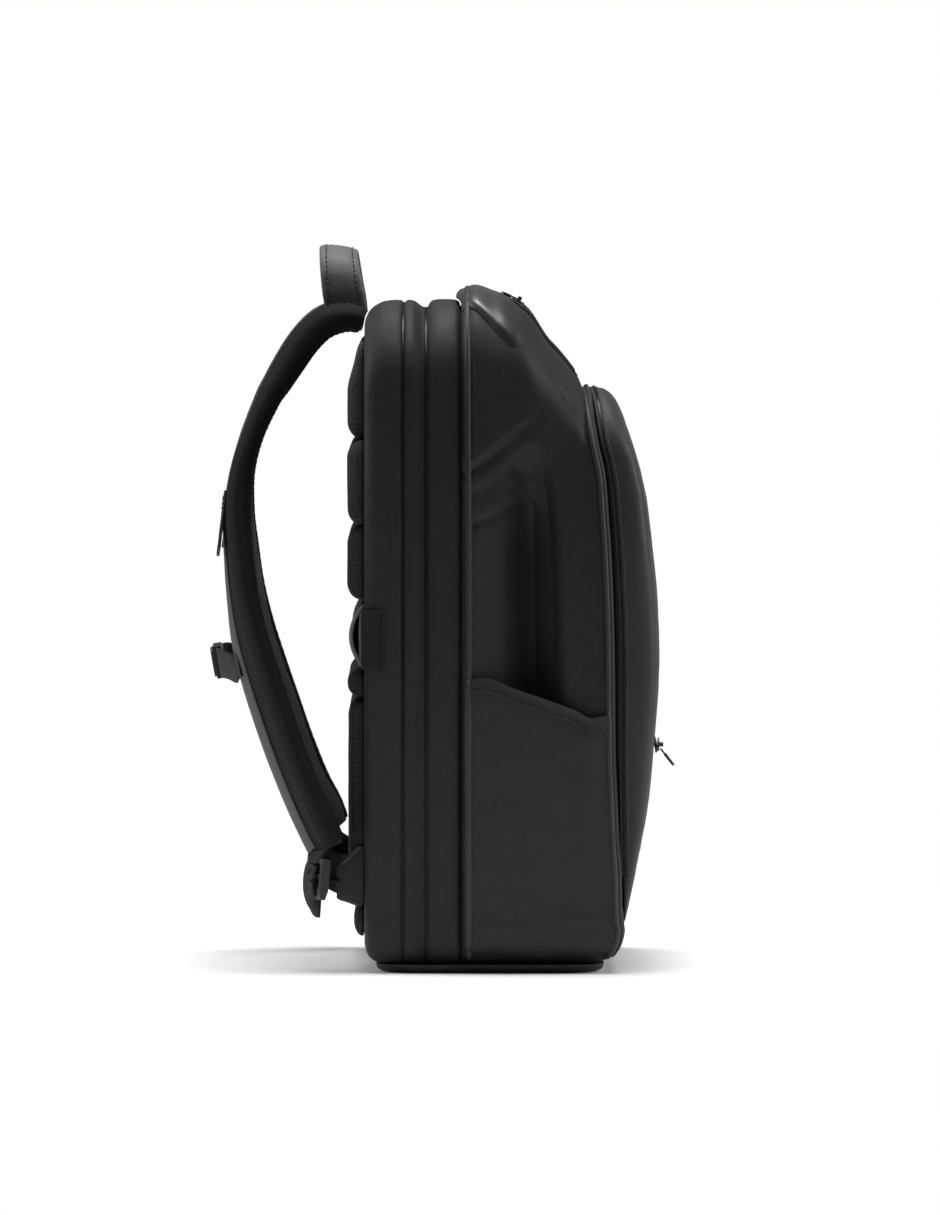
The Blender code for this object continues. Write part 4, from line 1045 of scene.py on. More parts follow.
def front_pocket():
    b = Builder()
    curve = [(0.990, 0.0), (0.997, 0.04), (1.0, 0.12), (1.001, 0.25), (1.001, 0.40), (0.999, 0.55), (0.994, 0.66),
             (0.986, 0.755), (0.975, 0.825), (0.962, 0.868), (0.949, 0.893), (0.936, 0.908), (0.922, 0.920),
             (0.905, 0.930), (0.88, 0.941), (0.84, 0.954), (0.79, 0.966), (0.72, 0.977), (0.64, 0.986),
             (0.55, 0.992), (0.45, 0.996), (0.34, 0.999), (0.22, 1.0), (0.1, 1.0)]
    outer = [b.ring(pocket_ring(s, d)) for s, d in curve]
    inner = [b.ring(pocket_ring(s, d, 2.6, False)) for s, d in
             ((0.990, 0.0), (0.998, 0.45), (0.985, 0.72), (0.945, 0.88), (0.74, 0.96), (0.38, 0.98))]
    for rings in (outer, inner):
        for a, c in zip(rings, rings[1:]):
            b.join(a, c)
    b.fan(outer[-1], mean([b.points[i] for i in outer[-1]]), steps=())
    b.fan(inner[-1], mean([b.points[i] for i in inner[-1]]), steps=())
    b.join(outer[0], inner[0])
    return b.finish("front_pocket_cloth", PANEL, "front_pocket", 70)


# ------------------------------------------------------------- side pockets


def side_x(along, z):
    top, corner = station(along), corner_of(along)
    low, high = SHELL_FLOOR + CORNER_LOW, top - corner
    t = min(max((z - low) / (high - low), 0.0), 1.0)
    x = HALF_BOTTOM + (HALF_TOP - HALF_BOTTOM) * t - side_inset(min(max(along, 0.03), 0.97))
    x += SIDE_BULGE * (1 - 0.5 * along) * math.sin(math.pi * t)
    if z < low:
        x -= CORNER_LOW - math.sqrt(max(CORNER_LOW ** 2 - (low - z) ** 2, 0.0))
    return x


def pocket_surface(sign, along, z, lift):
    u = (along - 0.025) / 0.945
    v = (z - 15.0) / (smooth(POCKET_RIM, "along", "z", along) - 15.0)
    y = REAR_Y + (seam_y(z) - REAR_Y) * along
    belly = 3.2 * max(math.sin(math.pi * min(max(u, 0), 1)), 0) ** 0.7 * math.sin(math.pi * min(max(v, 0) + 0.25, 1.0) * 0.62)
    x = side_x(along, z) + lift + belly
    edge = min(u, 1 - u) * 105
    move = 0.0
    for fold in POCKET_FOLDS:
        move += ridge(y, z + (0 if sign < 0 else 4), fold)
    move += 0.6 * grain(y, z, sign * 9, 34, 41.0) + 0.25 * grain(y, z, sign * 5, 11, 43.0)
    move += 0.22 * math.exp(-edge / 3.0) * math.sin(z / 1.5 + 2 * grain(y, z, 0, 22, 3.0))
    move *= ease(edge / 5.0 + 0.15) * ease((z - 14) / 8)
    return Vector((sign * (x + move), y, z))


def bottle_pocket(side, sign):
    b = Builder()
    columns, rows = 74, 92
    inner, outer = [], []
    for j in range(rows + 1):
        v = j / rows
        low, high = [], []
        for k in range(columns + 1):
            u = k / columns
            along = 0.025 + 0.945 * u
            rim = smooth(POCKET_RIM, "along", "z", along)
            z = 15.0 + (rim - 15.0) * v
            edge = min(u, 1 - u)
            low.append(pocket_surface(sign, along, z, 0.9))
            high.append(pocket_surface(sign, along, z, 3.0 - 1.4 * (1 - ease(edge / 0.025)) - 1.2 * (1 - ease(v / 0.03))))
        inner.append(b.ring(low))
        outer.append(b.ring(high))
    for rings in (inner, outer):
        for a, c in zip(rings, rings[1:]):
            b.join(a, c, closed=False)
    for i in (0, -1):
        b.join(inner[i], outer[i], closed=False)
    for k in (0, columns):
        b.join([r[k] for r in inner], [r[k] for r in outer], closed=False)
    ob = b.finish(f"bottle_pocket_{side}_cloth", POCKET, f"bottle_pocket_{side}", 70)

    # elastic binding folded over the rim, gathered along its run
    b = Builder()
    rings = []
    run = 0.0
    last = None
    count = 190
    for k in range(count + 1):
        along = 0.03 + 0.935 * k / count
        rim = smooth(POCKET_RIM, "along", "z", along)
        base = pocket_surface(sign, along, rim - 0.5, 0.0)
        low = pocket_surface(sign, along, rim - 9.0, 0.0)
        if last is not None:
            run += (base - last).length
        last = base
        gather = 0.07 * math.sin(run / 0.95) + 0.06 * math.sin(run / 2.3 + 1.0)
        shape = [(0.1, 0.0), (0.6, 1.3), (1.9, 2.0), (3.3, 1.4), (4.1 + gather * 0.4, -0.8), (4.2 + gather, -4.5),
                 (4.0 + gather * 0.7, -7.6), (3.2, -8.6), (1.6, -8.2), (0.2, -4.0)]
        ring = []
        for dx, dz in shape:
            t = min(max((0.5 - dz) / 8.5, 0), 1)
            x = base.x + (low.x - base.x) * t
            y = base.y + (low.y - base.y) * t
            ring.append((x + sign * dx, y, rim + dz))
        rings.append(b.ring(ring, run))
    for a, c in zip(rings, rings[1:]):
        b.join(a, c)
    b.face(rings[0])
    b.face(rings[-1])
    b.finish(f"bottle_pocket_{side}_binding", RIM, (), 60)

    # piping down both upright edges and bar tacks at the rim's ends
    for name, at, r in (("rear", 0.047, 2.6), ("front", 0.957, 1.9)):
        path = []
        for i in range(70):
            z = 17.0 + (smooth(POCKET_RIM, "along", "z", at) + 3.0 - 17.0) * i / 69
            p = pocket_surface(sign, at, z, 2.4)
            path.append(p)
        tube(f"bottle_pocket_{side}_{name}_piping", path, r, PIPING, (), 12)
    dashes = []
    for at in (0.085, 0.915):
        rim = smooth(POCKET_RIM, "along", "z", at)
        for i in range(4):
            a = pocket_surface(sign, at - 0.02, rim - 2.4 - i * 1.5, 4.9)
            c = pocket_surface(sign, at + 0.02, rim - 2.4 - i * 1.5, 4.9)
            dashes.append(([a, a.lerp(c, 0.5), c], [Vector((sign, 0, 0))] * 3))
    for dz in (-7.0,):
        path = [pocket_surface(sign, 0.04 + 0.915 * i / 120, smooth(POCKET_RIM, "along", "z", 0.04 + 0.915 * i / 120) + dz, 4.45)
                for i in range(121)]
        dashes.append((path, [Vector((sign, 0, 0))] * len(path)))
    stitches(f"bottle_pocket_{side}_stitching", dashes, 2.6, 1.2, 0.42, None)
    return ob


# ---------------------------------------------------------------- back side


def back_pad(side, sign, row):
    """A crowned pillow: a rolled rim, rounded corners and a soft top that sinks at its sewn edge."""
    b = Builder()
    base = BACK_Y + GAP
    x0, x1, z0, z1 = PAD_INNER, PAD_OUTER - (12.0 if row["name"] == "top" else 0.0), row["low"], row["high"]
    r0 = min(12.0, (z1 - z0) / 2 - 0.5)
    short = (z1 - z0) / 2
    reach = min(13.0, short * 0.92)
    profile = []
    for i in range(13):
        a = math.pi / 2 * i / 12
        profile.append((reach * (1 - math.cos(a)), math.sin(a) ** 0.85))
    rings = []
    per = 22

    def outline(inset):
        r = max(r0 - inset, 0.6)
        ax, bx, az, bz = x0 + inset, x1 - inset, z0 + inset, z1 - inset
        pts = []
        spans = [((bx, az + r), (bx, bz - r)), ((bx - r, bz), (ax + r, bz)),
                 ((ax, bz - r), (ax, az + r)), ((ax + r, az), (bx - r, az))]
        corners = [((bx - r, bz - r), 0), ((ax + r, bz - r), 90), ((ax + r, az + r), 180), ((bx - r, az + r), 270)]
        for (p, q), ((cx, cz), start) in zip(spans, corners):
            for i in range(per):
                t = i / per
                pts.append((p[0] + (q[0] - p[0]) * t, p[1] + (q[1] - p[1]) * t))
            for i in range(7):
                a = math.radians(start + 90 * i / 7)
                pts.append((cx + r * math.cos(a), cz + r * math.sin(a)))
        return pts

    def height(x, z, share):
        rise = row["proud"] * share
        if row["crest"] < 1:
            rise *= 1 - (1 - row["crest"]) * ease((z - z0 - (z1 - z0) * 0.45) / ((z1 - z0) * 0.5))
        rise += 0.45 * share * grain(x, z, sign * 3, 22, 51.0)
        return rise

    ring = b.ring([(sign * x, base, z) for x, z in outline(0.8)])
    first = ring
    rings.append(ring)
    for inset, share in profile:
        rings.append(b.ring([(sign * x, base + 0.3 + height(x, z, share * 0.97), z) for x, z in outline(inset)]))
    for t in (0.8, 0.6, 0.4, 0.2):
        pts = []
        cx, cz = (x0 + x1) / 2, (z0 + z1) / 2
        for x, z in outline(reach):
            x, z = cx + (x - cx) * (t if (x1 - x0) >= (z1 - z0) else 1) if False else cx + (x - cx) * t, cz + (z - cz) * t
            pts.append((sign * x, base + 0.3 + height(x, z, 0.97 + 0.03 * (1 - t)), z))
        rings.append(b.ring(pts))
    for a, c in zip(rings, rings[1:]):
        b.join(a, c)
    cx, cz = (x0 + x1) / 2, (z0 + z1) / 2
    b.fan(first, (sign * cx, base, cz), steps=())
    b.fan(rings[-1], (sign * cx, base + 0.3 + height(cx, cz, 1.0), cz), steps=())
    ob = b.finish(f"back_pad_{row['name']}_{side}_mesh", MESH, f"back_pad_{row['name']}_{side}", 80)
    return ob


def luggage_band():
    b = Builder()
    base = BACK_Y + GAP
    low, high, reach, rise, thick = 214.5, 258.5, 134.0, 7.8, 1.6
    half, mid = (high - low) / 2, (high + low) / 2
    shares = [-1 + 2 * i / 26 for i in range(27)]
    rings = []
    for i in range(61):
        x = -reach + 2 * reach * i / 60
        r = rise * (0.05 + 0.95 * ease((abs(x) - 62) / 66)) + 0.35 * grain(x, 0, 0, 40, 61.0)
        outer, inner = [], []
        for u in shares:
            y = base + r * (1 - u * u)
            lip = 0.5 * math.exp(-((1 - abs(u)) / 0.12) ** 2)
            outer.append((x, y + thick + lip * 0.4, mid + half * u))
            inner.append((x, y, mid + half * u * 0.985))
        rings.append(b.ring(outer + inner[::-1], x + reach))
    for a, c in zip(rings, rings[1:]):
        b.join(a, c)
    n = len(shares)
    for ring in (rings[0], rings[-1]):
        for k in range(n - 1):
            b.face((ring[k], ring[k + 1], ring[2 * n - 2 - k], ring[2 * n - 1 - k]))
    # the band takes a light grey tone that is painted light from behind
    band = b.finish("luggage_band_web", SLEEVE_PAINTED_LIGHT, "luggage_band", 60)
    lines = []
    for u in (-0.9, 0.9):
        path = []
        for i in range(53):
            x = -130 + 5 * i
            r = rise * (0.05 + 0.95 * ease((abs(x) - 62) / 66)) + 0.35 * grain(x, 0, 0, 40, 61.0)
            path.append((x, base + r * (1 - u * u) + thick + 0.1, mid + half * u))
        lines.append((path, [Vector((0, 1, 0))] * len(path)))
    # pale loops round the band's ends; their light tone is a painted highlight
    for word, sign in (("L", -1), ("R", 1)):
        loop = [(sign * 134.6, base + 0.5 + (rise + 0.6) * (1 - u * u), mid + (half - 0.6) * u) for u in shares]
        loop += [(sign * 134.6, base + 1.1 + 0.9 * (1 - u * u), mid + (half - 3.0) * u) for u in shares[::-1]]
        tube(f"luggage_band_{word}_binding", loop, 1.5, EDGE_HIGHLIGHT, (), 10, closed=True)
    # its ends, turned round the corner and sewn flat to the side
    for word, sign in (("L", -1), ("R", 1)):
        b = Builder()
        low_side, top_side = [], []
        for j in range(19):
            y = 88.4 - 14.8 * j / 18
            row = rear_row(BACK_ROWS, min(y, 88.0))
            a, c = [], []
            for k in range(23):
                z = 213.4 + 42.4 * k / 22
                t = (z - row["floor"] - CORNER_LOW) / (row["top"] - CORNER_HIGH - row["floor"] - CORNER_LOW)
                x = HALF_BOTTOM - row["inset"] + (HALF_TOP - HALF_BOTTOM) * t + SIDE_BULGE * math.sin(math.pi * t)
                rim = min(ease(min(k, 22 - k) / 1.5), ease((18 - j) / 1.5), 1.0)
                a.append((sign * (x - 0.8), y, z))
                c.append((sign * (x + 0.3 + 1.0 * rim), y, z))
            low_side.append(b.ring(a, 14.8 * j / 18))
            top_side.append(b.ring(c, 14.8 * j / 18))
        for rings in (low_side, top_side):
            for a, c in zip(rings, rings[1:]):
                b.join(a, c, closed=False)
        for i in (0, -1):
            b.join(low_side[i], top_side[i], closed=False)
        for k in (0, 22):
            b.join([r[k] for r in low_side], [r[k] for r in top_side], closed=False)
        b.finish(f"luggage_band_{word}_end", ENDS, (), 60)
        turn = []
        for y, past in ((88.0, 0.8), (85.6, 1.6), (82.0, 1.5), (77.0, 1.5)):
            row = rear_row(BACK_ROWS, y)
            turn.append((HALF_BOTTOM - row["inset"] + (HALF_TOP - HALF_BOTTOM) * 0.47 + SIDE_BULGE + past, y + (1.0 if y > 87 else 0.3 if y > 84 else 0)))
        turn = [(132.6, 89.7), (0.5 * (132.6 + turn[0][0]), 89.9)] + turn
        ways = [(0.0, 1.0), (0.0, 1.0), (0.55, 0.83), (0.9, 0.43), (1.0, 0.0), (1.0, 0.0)]
        strip(f"luggage_band_{word}_turn", catmull([(sign * x, y, 234.6) for x, y in turn], 6),
              catmull([(sign * x, y, 0.0) for x, y in ways], 6), 42.0, 1.2, ENDS, ())
    stitches("luggage_band_stitching", lines, 3.0, 1.4, 0.45, None)
    return band


# ------------------------------------------------------------------- straps


def strap_frames(sign, per=9):
    """Middle, line, width and outward directions with width and thickness, closely down the strap."""
    mids = catmull([(sign * r["x"], r["y"], r["z"]) for r in STRAP_ROWS], per)
    extra = catmull([(r["wide"], r["thick"], r["turn"]) for r in STRAP_ROWS], per)
    run = lengths(mids)
    out = []
    for i, mid in enumerate(mids):
        line = (mids[min(i + 1, len(mids) - 1)] - mids[max(i - 1, 0)]).normalized()
        across = Vector((1, 0, 0))
        across = (across - line * across.dot(line)).normalized()
        away = across.cross(line).normalized()
        if away.y + away.z * 0.4 < 0:
            away = -away
        wide, thick, turn = extra[i]
        a = math.radians(turn) * -sign
        out.append(dict(mid=mid, line=line, across=across * math.cos(a) + away * math.sin(a),
                        out=away * math.cos(a) - across * math.sin(a), wide=wide, thick=thick, run=run[i]))
    return out


def strap_ring(f, count=56, grow=0.0, power=2.6):
    """Section of the padded strap, flat-faced with full round edges."""
    pts = []
    hw, ht = f["wide"] / 2 + grow, f["thick"] / 2 + grow
    flat = hw - ht * 0.95
    for k in range(count):
        a = 2 * math.pi * k / count
        c, s = math.cos(a), math.sin(a)
        x = math.copysign(abs(c) ** (2 / power), c)
        y = math.copysign(abs(s) ** (2 / power), s)
        pts.append((hw * x, ht * y))
    return pts


def edge_shape(f, sign_edge, grow):
    """The strap's rounded edge as points from the outer face round to the inner one."""
    hw, ht = f["wide"] / 2, f["thick"] / 2
    pts = []
    power = 2.6
    for k in range(15):
        a = math.radians(62 - 124 * k / 14)
        c, s = math.cos(a), math.sin(a)
        x = (hw + grow) * abs(c) ** (2 / power)
        y = (ht + grow) * math.copysign(abs(s) ** (2 / power), s)
        pts.append((sign_edge * x, y))
    return pts


def shoulder_strap(side, sign):
    fr = strap_frames(sign)
    b = Builder()
    rings = []
    total = fr[-1]["run"]
    for i, f in enumerate(fr):
        ring = []
        for u, v in strap_ring(f):
            p = f["mid"] + f["across"] * u + f["out"] * v
            face = 1 - (abs(u) / (f["wide"] / 2)) ** 4
            move = 0.45 * grain(p.x, p.y, p.z, 24, 71.0) + 0.16 * grain(p.x, p.y, p.z, 8, 73.0)
            ends = min(f["run"], total - f["run"])
            keep = ease(ends / 14)
            tuck = -1.5 * (1 - ease(ends / 7.0))
            p += f["out"] * math.copysign(1, v) * (move * keep + tuck) * max(face, 0)
            ring.append(p)
        rings.append(b.ring(ring, f["run"]))
    half = 28
    for a, c in zip(rings, rings[1:]):
        b.join(a, c, mat=lambda i: 1 if i >= half else 0)
    for ring, f in ((rings[0], fr[0]), (rings[-1], fr[-1])):
        b.fan(ring, f["mid"], steps=(0.6,))
    strap = b.finish(f"shoulder_strap_{side}_pad", [STRAP, MESH], f"shoulder_strap_{side}", 75)

    # bound edges: a folded tape round each edge, with its line of stitching
    lines = []
    for name, e in (("outer", 1), ("inner", -1)):
        b = Builder()
        rings = []
        path_a, path_c, dirs_a, dirs_c = [], [], [], []
        for f in fr[2:-2]:
            out_pts, in_pts = edge_shape(f, e, 1.1), edge_shape(f, e, -0.4)
            shape = out_pts + in_pts[::-1]
            ring = [f["mid"] + f["across"] * u + f["out"] * (v + 0.12 * math.sin(f["run"] / 1.1)) for u, v in shape]
            rings.append(b.ring(ring, f["run"]))
            u, v = out_pts[0]
            path_a.append(f["mid"] + f["across"] * (u - e * 0.6) + f["out"] * (v - 0.25))
            dirs_a.append(f["out"])
            u, v = out_pts[-1]
            path_c.append(f["mid"] + f["across"] * (u - e * 0.6) + f["out"] * (v + 0.25))
            dirs_c.append(-f["out"])
        for a, c in zip(rings, rings[1:]):
            b.join(a, c)
        b.face(rings[0])
        b.face(rings[-1])
        b.finish(f"shoulder_strap_{side}_{name}_binding", STRAP, (), 60)
        lines += [(path_a, dirs_a), (path_c, dirs_c)]
    stitches(f"shoulder_strap_{side}_stitching", lines, 2.8, 1.3, 0.42, None)
    # a lighter band down the strap's outer face: its tone is painted sheen where light runs along the strap
    points, outs = [], []
    for f in fr[10:-3]:
        shift = -sign * 0.42 * f["wide"] / 2
        points.append(f["mid"] + f["across"] * shift + f["out"] * (f["thick"] / 2 + 0.5))
        outs.append(f["out"])
    strip(f"shoulder_strap_{side}_strip", points, outs, 20.0, 1.4, SHEEN_STRIP, (), 0.5)
    return strap


def strap_place(sign, z, across, out):
    """A point on a strap at a height, by a share of its half width and a lift off its face, and its directions."""
    fr = strap_frames(sign)
    best = None
    for a, c in zip(fr, fr[1:]):
        if a["mid"].z >= z >= c["mid"].z:
            t = (a["mid"].z - z) / max(a["mid"].z - c["mid"].z, 1e-6)
            mid = a["mid"].lerp(c["mid"], t)
            wide = a["wide"] + (c["wide"] - a["wide"]) * t
            thick = a["thick"] + (c["thick"] - a["thick"]) * t
            ac, ou = a["across"].lerp(c["across"], t).normalized(), a["out"].lerp(c["out"], t).normalized()
            best = (mid + ac * across * wide / 2 + ou * (thick / 2 * math.copysign(1, out) + out), ou)
    return best


def grab_handle():
    rows = [dict(r, x=-r["x"]) for r in HANDLE_ROWS] + list(reversed(HANDLE_ROWS[:-1]))
    mids = catmull([(r["x"], r["y"], r["z"]) for r in rows], 10)
    sizes = catmull([(r["wide"], r["thick"], 0) for r in rows], 10)
    run = lengths(mids)
    b = Builder()
    rings, up_line, low_line, dirs = [], [], [], []
    for i, mid in enumerate(mids):
        line = (mids[min(i + 1, len(mids) - 1)] - mids[max(i - 1, 0)]).normalized()
        wide = Vector((0, 1, 0.12))
        wide = (wide - line * wide.dot(line)).normalized()
        out = line.cross(wide)
        if out.z < 0 and abs(mid.x) < 40 or out.x * mid.x < 0 and abs(mid.x) >= 40:
            out = -out
        hw, ht = sizes[i][0] / 2, sizes[i][1] / 2
        ring = []
        for k in range(36):
            a = 2 * math.pi * k / 36
            c, s = math.cos(a), math.sin(a)
            u = math.copysign(abs(c) ** (2 / 3.4), c) * hw
            v = math.copysign(abs(s) ** (2 / 2.6), s) * ht
            dip = -0.55 * math.exp(-((abs(u) - hw + 4.5) / 1.1) ** 2)
            puff = 0.5 * math.cos(u / hw * math.pi / 2)
            v += math.copysign(1, s) * (dip + puff) * (abs(s) > 0.3)
            p = mid + wide * u + out * v
            ring.append(p + out * 0.2 * grain(p.x, p.y, p.z, 14, 81.0))
        rings.append(b.ring(ring, run[i]))
        for lst, e in ((up_line, 1), (low_line, -1)):
            lst.append(mid + wide * e * (hw - 4.5) + out * (ht + 0.0))
        dirs.append(out)
    for a, c in zip(rings, rings[1:]):
        b.join(a, c)
    for ring in (rings[0], rings[-1]):
        b.fan(ring, mean([b.points[i] for i in ring]), steps=(0.5,))
    handle = b.finish("grab_handle_band", HANDLE, "grab_handle", 70)
    stitches("grab_handle_stitching", [(up_line, dirs), (low_line, dirs)], 3.0, 1.3, 0.5, None)
    return handle


# ----------------------------------------------------------------- zip lines


def zipper(name, points, outs, node, tape=4.6, tooth=1.9, pitch=1.35, welt=1.0, welt_mat=None, gap=2.5):
    """A coil zip along a line: flat tape, two interlocked rows of teeth and a rolled cloth lip on each side."""
    points = [Vector(p) for p in points]
    run = lengths(points)
    b = Builder()
    rings = []
    sides = []
    for i, p in enumerate(points):
        line = (points[min(i + 1, len(points) - 1)] - points[max(i - 1, 0)]).normalized()
        up = Vector(outs[i])
        up = (up - line * up.dot(line)).normalized()
        side = line.cross(up)
        sides.append(side)
        h = tape / 2
        rings.append(b.ring([p + side * h + up * 0.0, p + side * h + up * 0.45, p + side * 0.2 + up * 0.55, p - side * 0.2 + up * 0.55,
                             p - side * h + up * 0.45, p - side * h + up * 0.0], run[i]))
    for a, c in zip(rings, rings[1:]):
        b.join(a, c)
    b.face(rings[0])
    b.face(rings[-1])
    s, k = 0.8, 0
    while s < run[-1] - 0.8:
        p, line, i, f = along_line(points, run, s)
        up = Vector(outs[i]).lerp(Vector(outs[min(i + 1, len(outs) - 1)]), f)
        up = (up - line * up.dot(line)).normalized()
        side = line.cross(up)
        e = 1 if k % 2 else -1
        c = p + side * e * tooth * 0.22 + up * 0.75
        w, l, h = tooth * 0.42, pitch * 0.40, 0.42
        low = b.ring([c + side * w + line * l - up * h, c - side * w + line * l - up * h,
                      c - side * w - line * l - up * h, c + side * w - line * l - up * h], run[i])
        high = b.ring([c + side * w * 0.75 + line * l * 0.6 + up * h, c - side * w * 0.75 + line * l * 0.6 + up * h,
                       c - side * w * 0.75 - line * l * 0.6 + up * h, c + side * w * 0.75 - line * l * 0.6 + up * h], run[i])
        b.join(low, high, mat=1)
        b.face(low, 1)
        b.face(high, 1)
        s += pitch
        k += 1
    ob = b.finish(name, [TAPE, TEETH], node, 50)
    for e, word in ((1, "a"), (-1, "b")):
        path = [p + sides[i] * e * gap for i, p in enumerate(points)]
        tube(f"{name}_lip_{word}", path, welt, welt_mat or SHELL, (), 8, squash=0.75, out=outs)
    return ob


def hoop_line(rows, y, lift, trim=4):
    """A line round the body at one depth, from the left floor corner over the top to the right one."""
    section = rear_section(rear_row(rows, y))
    outs = outward(section)
    keep = range(N_FLOOR + trim, len(section) - N_FLOOR - trim + 1)
    return [Vector(section[i]) + outs[i] * lift for i in keep], [outs[i] for i in keep]


def lid_z(y):
    lean, stand = top_slope(y)
    return smooth(TOP_LINE, "y", "z", y + 2.6 * lean) + 2.6 * stand + 0.7


def top_zip():
    reach, turn = 84.0, 14.0
    pts = [(-reach, -61.0 + 27.0 * i / 14) for i in range(14)]
    for i in range(13):
        a = math.radians(180 - 90 * i / 12)
        pts.append((-reach + turn + turn * math.cos(a), -34.0 + turn * math.sin(a)))
    pts += [(-70.0 + 5.0 * i, -20.0) for i in range(1, 14)] + [(0.0, -20.0)]
    pts += [(-x, y) for x, y in reversed(pts[:-1])]
    line, outs = [], []
    for x, y in pts:
        lean, stand = top_slope(y)
        n = Vector((0, -lean, stand))
        line.append(Vector((x, y, lid_z(y))) + n * 0.5)
        outs.append(n)
    return zipper("top_zip_coil", line, outs, "top_zip", 6.0, 2.2, 1.5, 1.0, LID, 3.3)


def face_point(x, z, lift=0.0):
    share = min(abs(x) / 138.0, 1.0)
    depth = smooth(POCKET_CURVE, "s", "d", share)
    seam, face = seam_y(z) - GAP, smooth(FRONT_FACE, "z", "y", z)
    return Vector((x, seam + (face - seam) * depth - lift, z))


def front_face_zip():
    line = [face_point(-97.0 + 194.0 * i / 80, 157.0, 1.0) for i in range(81)]
    return zipper("front_face_zip_coil", line, [Vector((0, -1, 0.12))] * 81, "front_face_zip", 6.0, 2.2, 1.5, 1.1, PANEL, 3.4)


def front_rim_zip():
    first = N_FLOOR + N_LOW
    half = half_section(33.6, 406.4, 140.5, 136.0, 34.0, 46.0, 2.0)
    ring = whole(half)[first:len(whole(half)) - first + 1]
    flat = [(x, 0, z) for x, z in whole(half)]
    outs = outward(flat)[first:len(flat) - first + 1]
    line = []
    for x, z in ring:
        seam, face = seam_y(z) - GAP, smooth(FRONT_FACE, "z", "y", z)
        line.append(Vector((x, seam - max((seam - face) * 0.18, 1.8), z)))
    return zipper("front_rim_zip_coil", line, outs, "front_rim_zip", 3.4, 1.5, 1.3, 0.8, PANEL, 2.1)


def slider(name, pull_name, at, axes, nodes, pull_turn):
    """Zip slider with its bridge, and a pull tab hung from it."""
    ax, ay, az = (Vector(a).normalized() for a in axes)
    at = Vector(at)

    def body(b):
        block(b, at - az * 0.9, (ax, ay, az), (9.6, 8.6, 1.4), 2.4, 0.94)
        block(b, at - ay * 2.0 + az * 0.7, (ax, ay, az), (3.0, 2.0, 2.4), 0.6)
        block(b, at + ay * 2.4 + az * 0.7, (ax, ay, az), (3.0, 1.6, 2.4), 0.4)
        block(b, at + az * 2.1, (ax, ay, az), (2.8, 6.4, 1.0), 0.6)

    rounded(name, body, 0.35, METAL, nodes[0], 2)

    pull_at, pax, pay, paz, length = pull_turn
    pax, pay, paz = Vector(pax).normalized(), Vector(pay).normalized(), Vector(paz).normalized()
    pull_at = Vector(pull_at)

    def pull(b):
        hole = [(1.6, -1.2), (1.6, 1.2), (-1.6, 1.2), (-1.6, -1.2)]
        outer = [(2.6, -2.4), (2.6, 2.4), (-2.6, 2.4), (-2.6, -2.4)]
        base = pull_at - pay * (length / 2 - 2.4)
        rings = []
        for pts, h in ((outer, -0.6), (outer, 0.6), (hole, 0.6), (hole, -0.6)):
            rings.append(b.ring([base + pax * x + pay * y + paz * h for x, y in pts]))
        for i in range(4):
            b.join(rings[i], rings[(i + 1) % 4])
        block(b, pull_at + pay * 2.2, (pax, pay, paz), (6.2, length - 5.0, 1.9), 1.6)
        for k in range(3):
            block(b, pull_at + pay * (1.0 + 1.9 * k) + paz * 0.75, (pax, pay, paz), (4.2, 0.7, 0.35), 0.0)

    rounded(pull_name, pull, 0.25, METAL, nodes[1], 2)


# -------------------------------------------------------------------- build

back_shell()
shell_band("rear_gusset_cloth", REAR_GUSSET_ROWS, (60.9, 45.0), 3.0, "rear_gusset")
shell_band("middle_gusset_cloth", MIDDLE_GUSSET_ROWS, (44.6, 20.8), 4.0, "middle_gusset")
front_shell()
lid_cloth()
front_pocket()
for side, sign in (("L", -1), ("R", 1)):
    bottle_pocket(side, sign)
    for row in BACK_PAD_ROWS:
        back_pad(side, sign, row)
    shoulder_strap(side, sign)
luggage_band()
grab_handle()

# zips of the two gussets: narrow, set down between the rolled edges of the cloth
for name, node, y, rows in (("laptop_zip_coil", "laptop_zip", 61.0, REAR_GUSSET_ROWS),
                            ("expansion_zip_coil", "expansion_zip", 44.8, REAR_GUSSET_ROWS)):
    row = dict(rear_row(rows, 60.9 if node == "laptop_zip" else 45.0))
    section = rear_section(row, 0.0, y)
    outs = outward(section)
    keep = range(N_FLOOR + 4, len(section) - N_FLOOR - 3)
    line = [Vector(section[i]) + outs[i] * 0.2 for i in keep]
    zipper(name, line, [outs[i] for i in keep], node, 2.6, 1.6, 1.4, 0.7, SHELL, 1.55)
top_zip()
front_face_zip()
front_rim_zip()

# piping of the rear seam and of the front seam, over the shoulders as well
for name, along, r, lift in (("rear_seam_piping", 0.050, 2.1, 0.6), ("front_seam_piping", 0.955, 1.9, 0.9)):
    half = whole(body_half(along))
    flat = [(x, 0, z) for x, z in half]
    outs = outward(flat)
    keep = range(N_FLOOR + 5, len(flat) - N_FLOOR - 4)
    path = []
    for i in keep:
        x, z = half[i]
        y = REAR_Y + (seam_y(z) - REAR_Y) * along
        path.append(Vector((x, y, z)) + outs[i] * lift)
    tube(name, path, r, PIPING, (), 12)

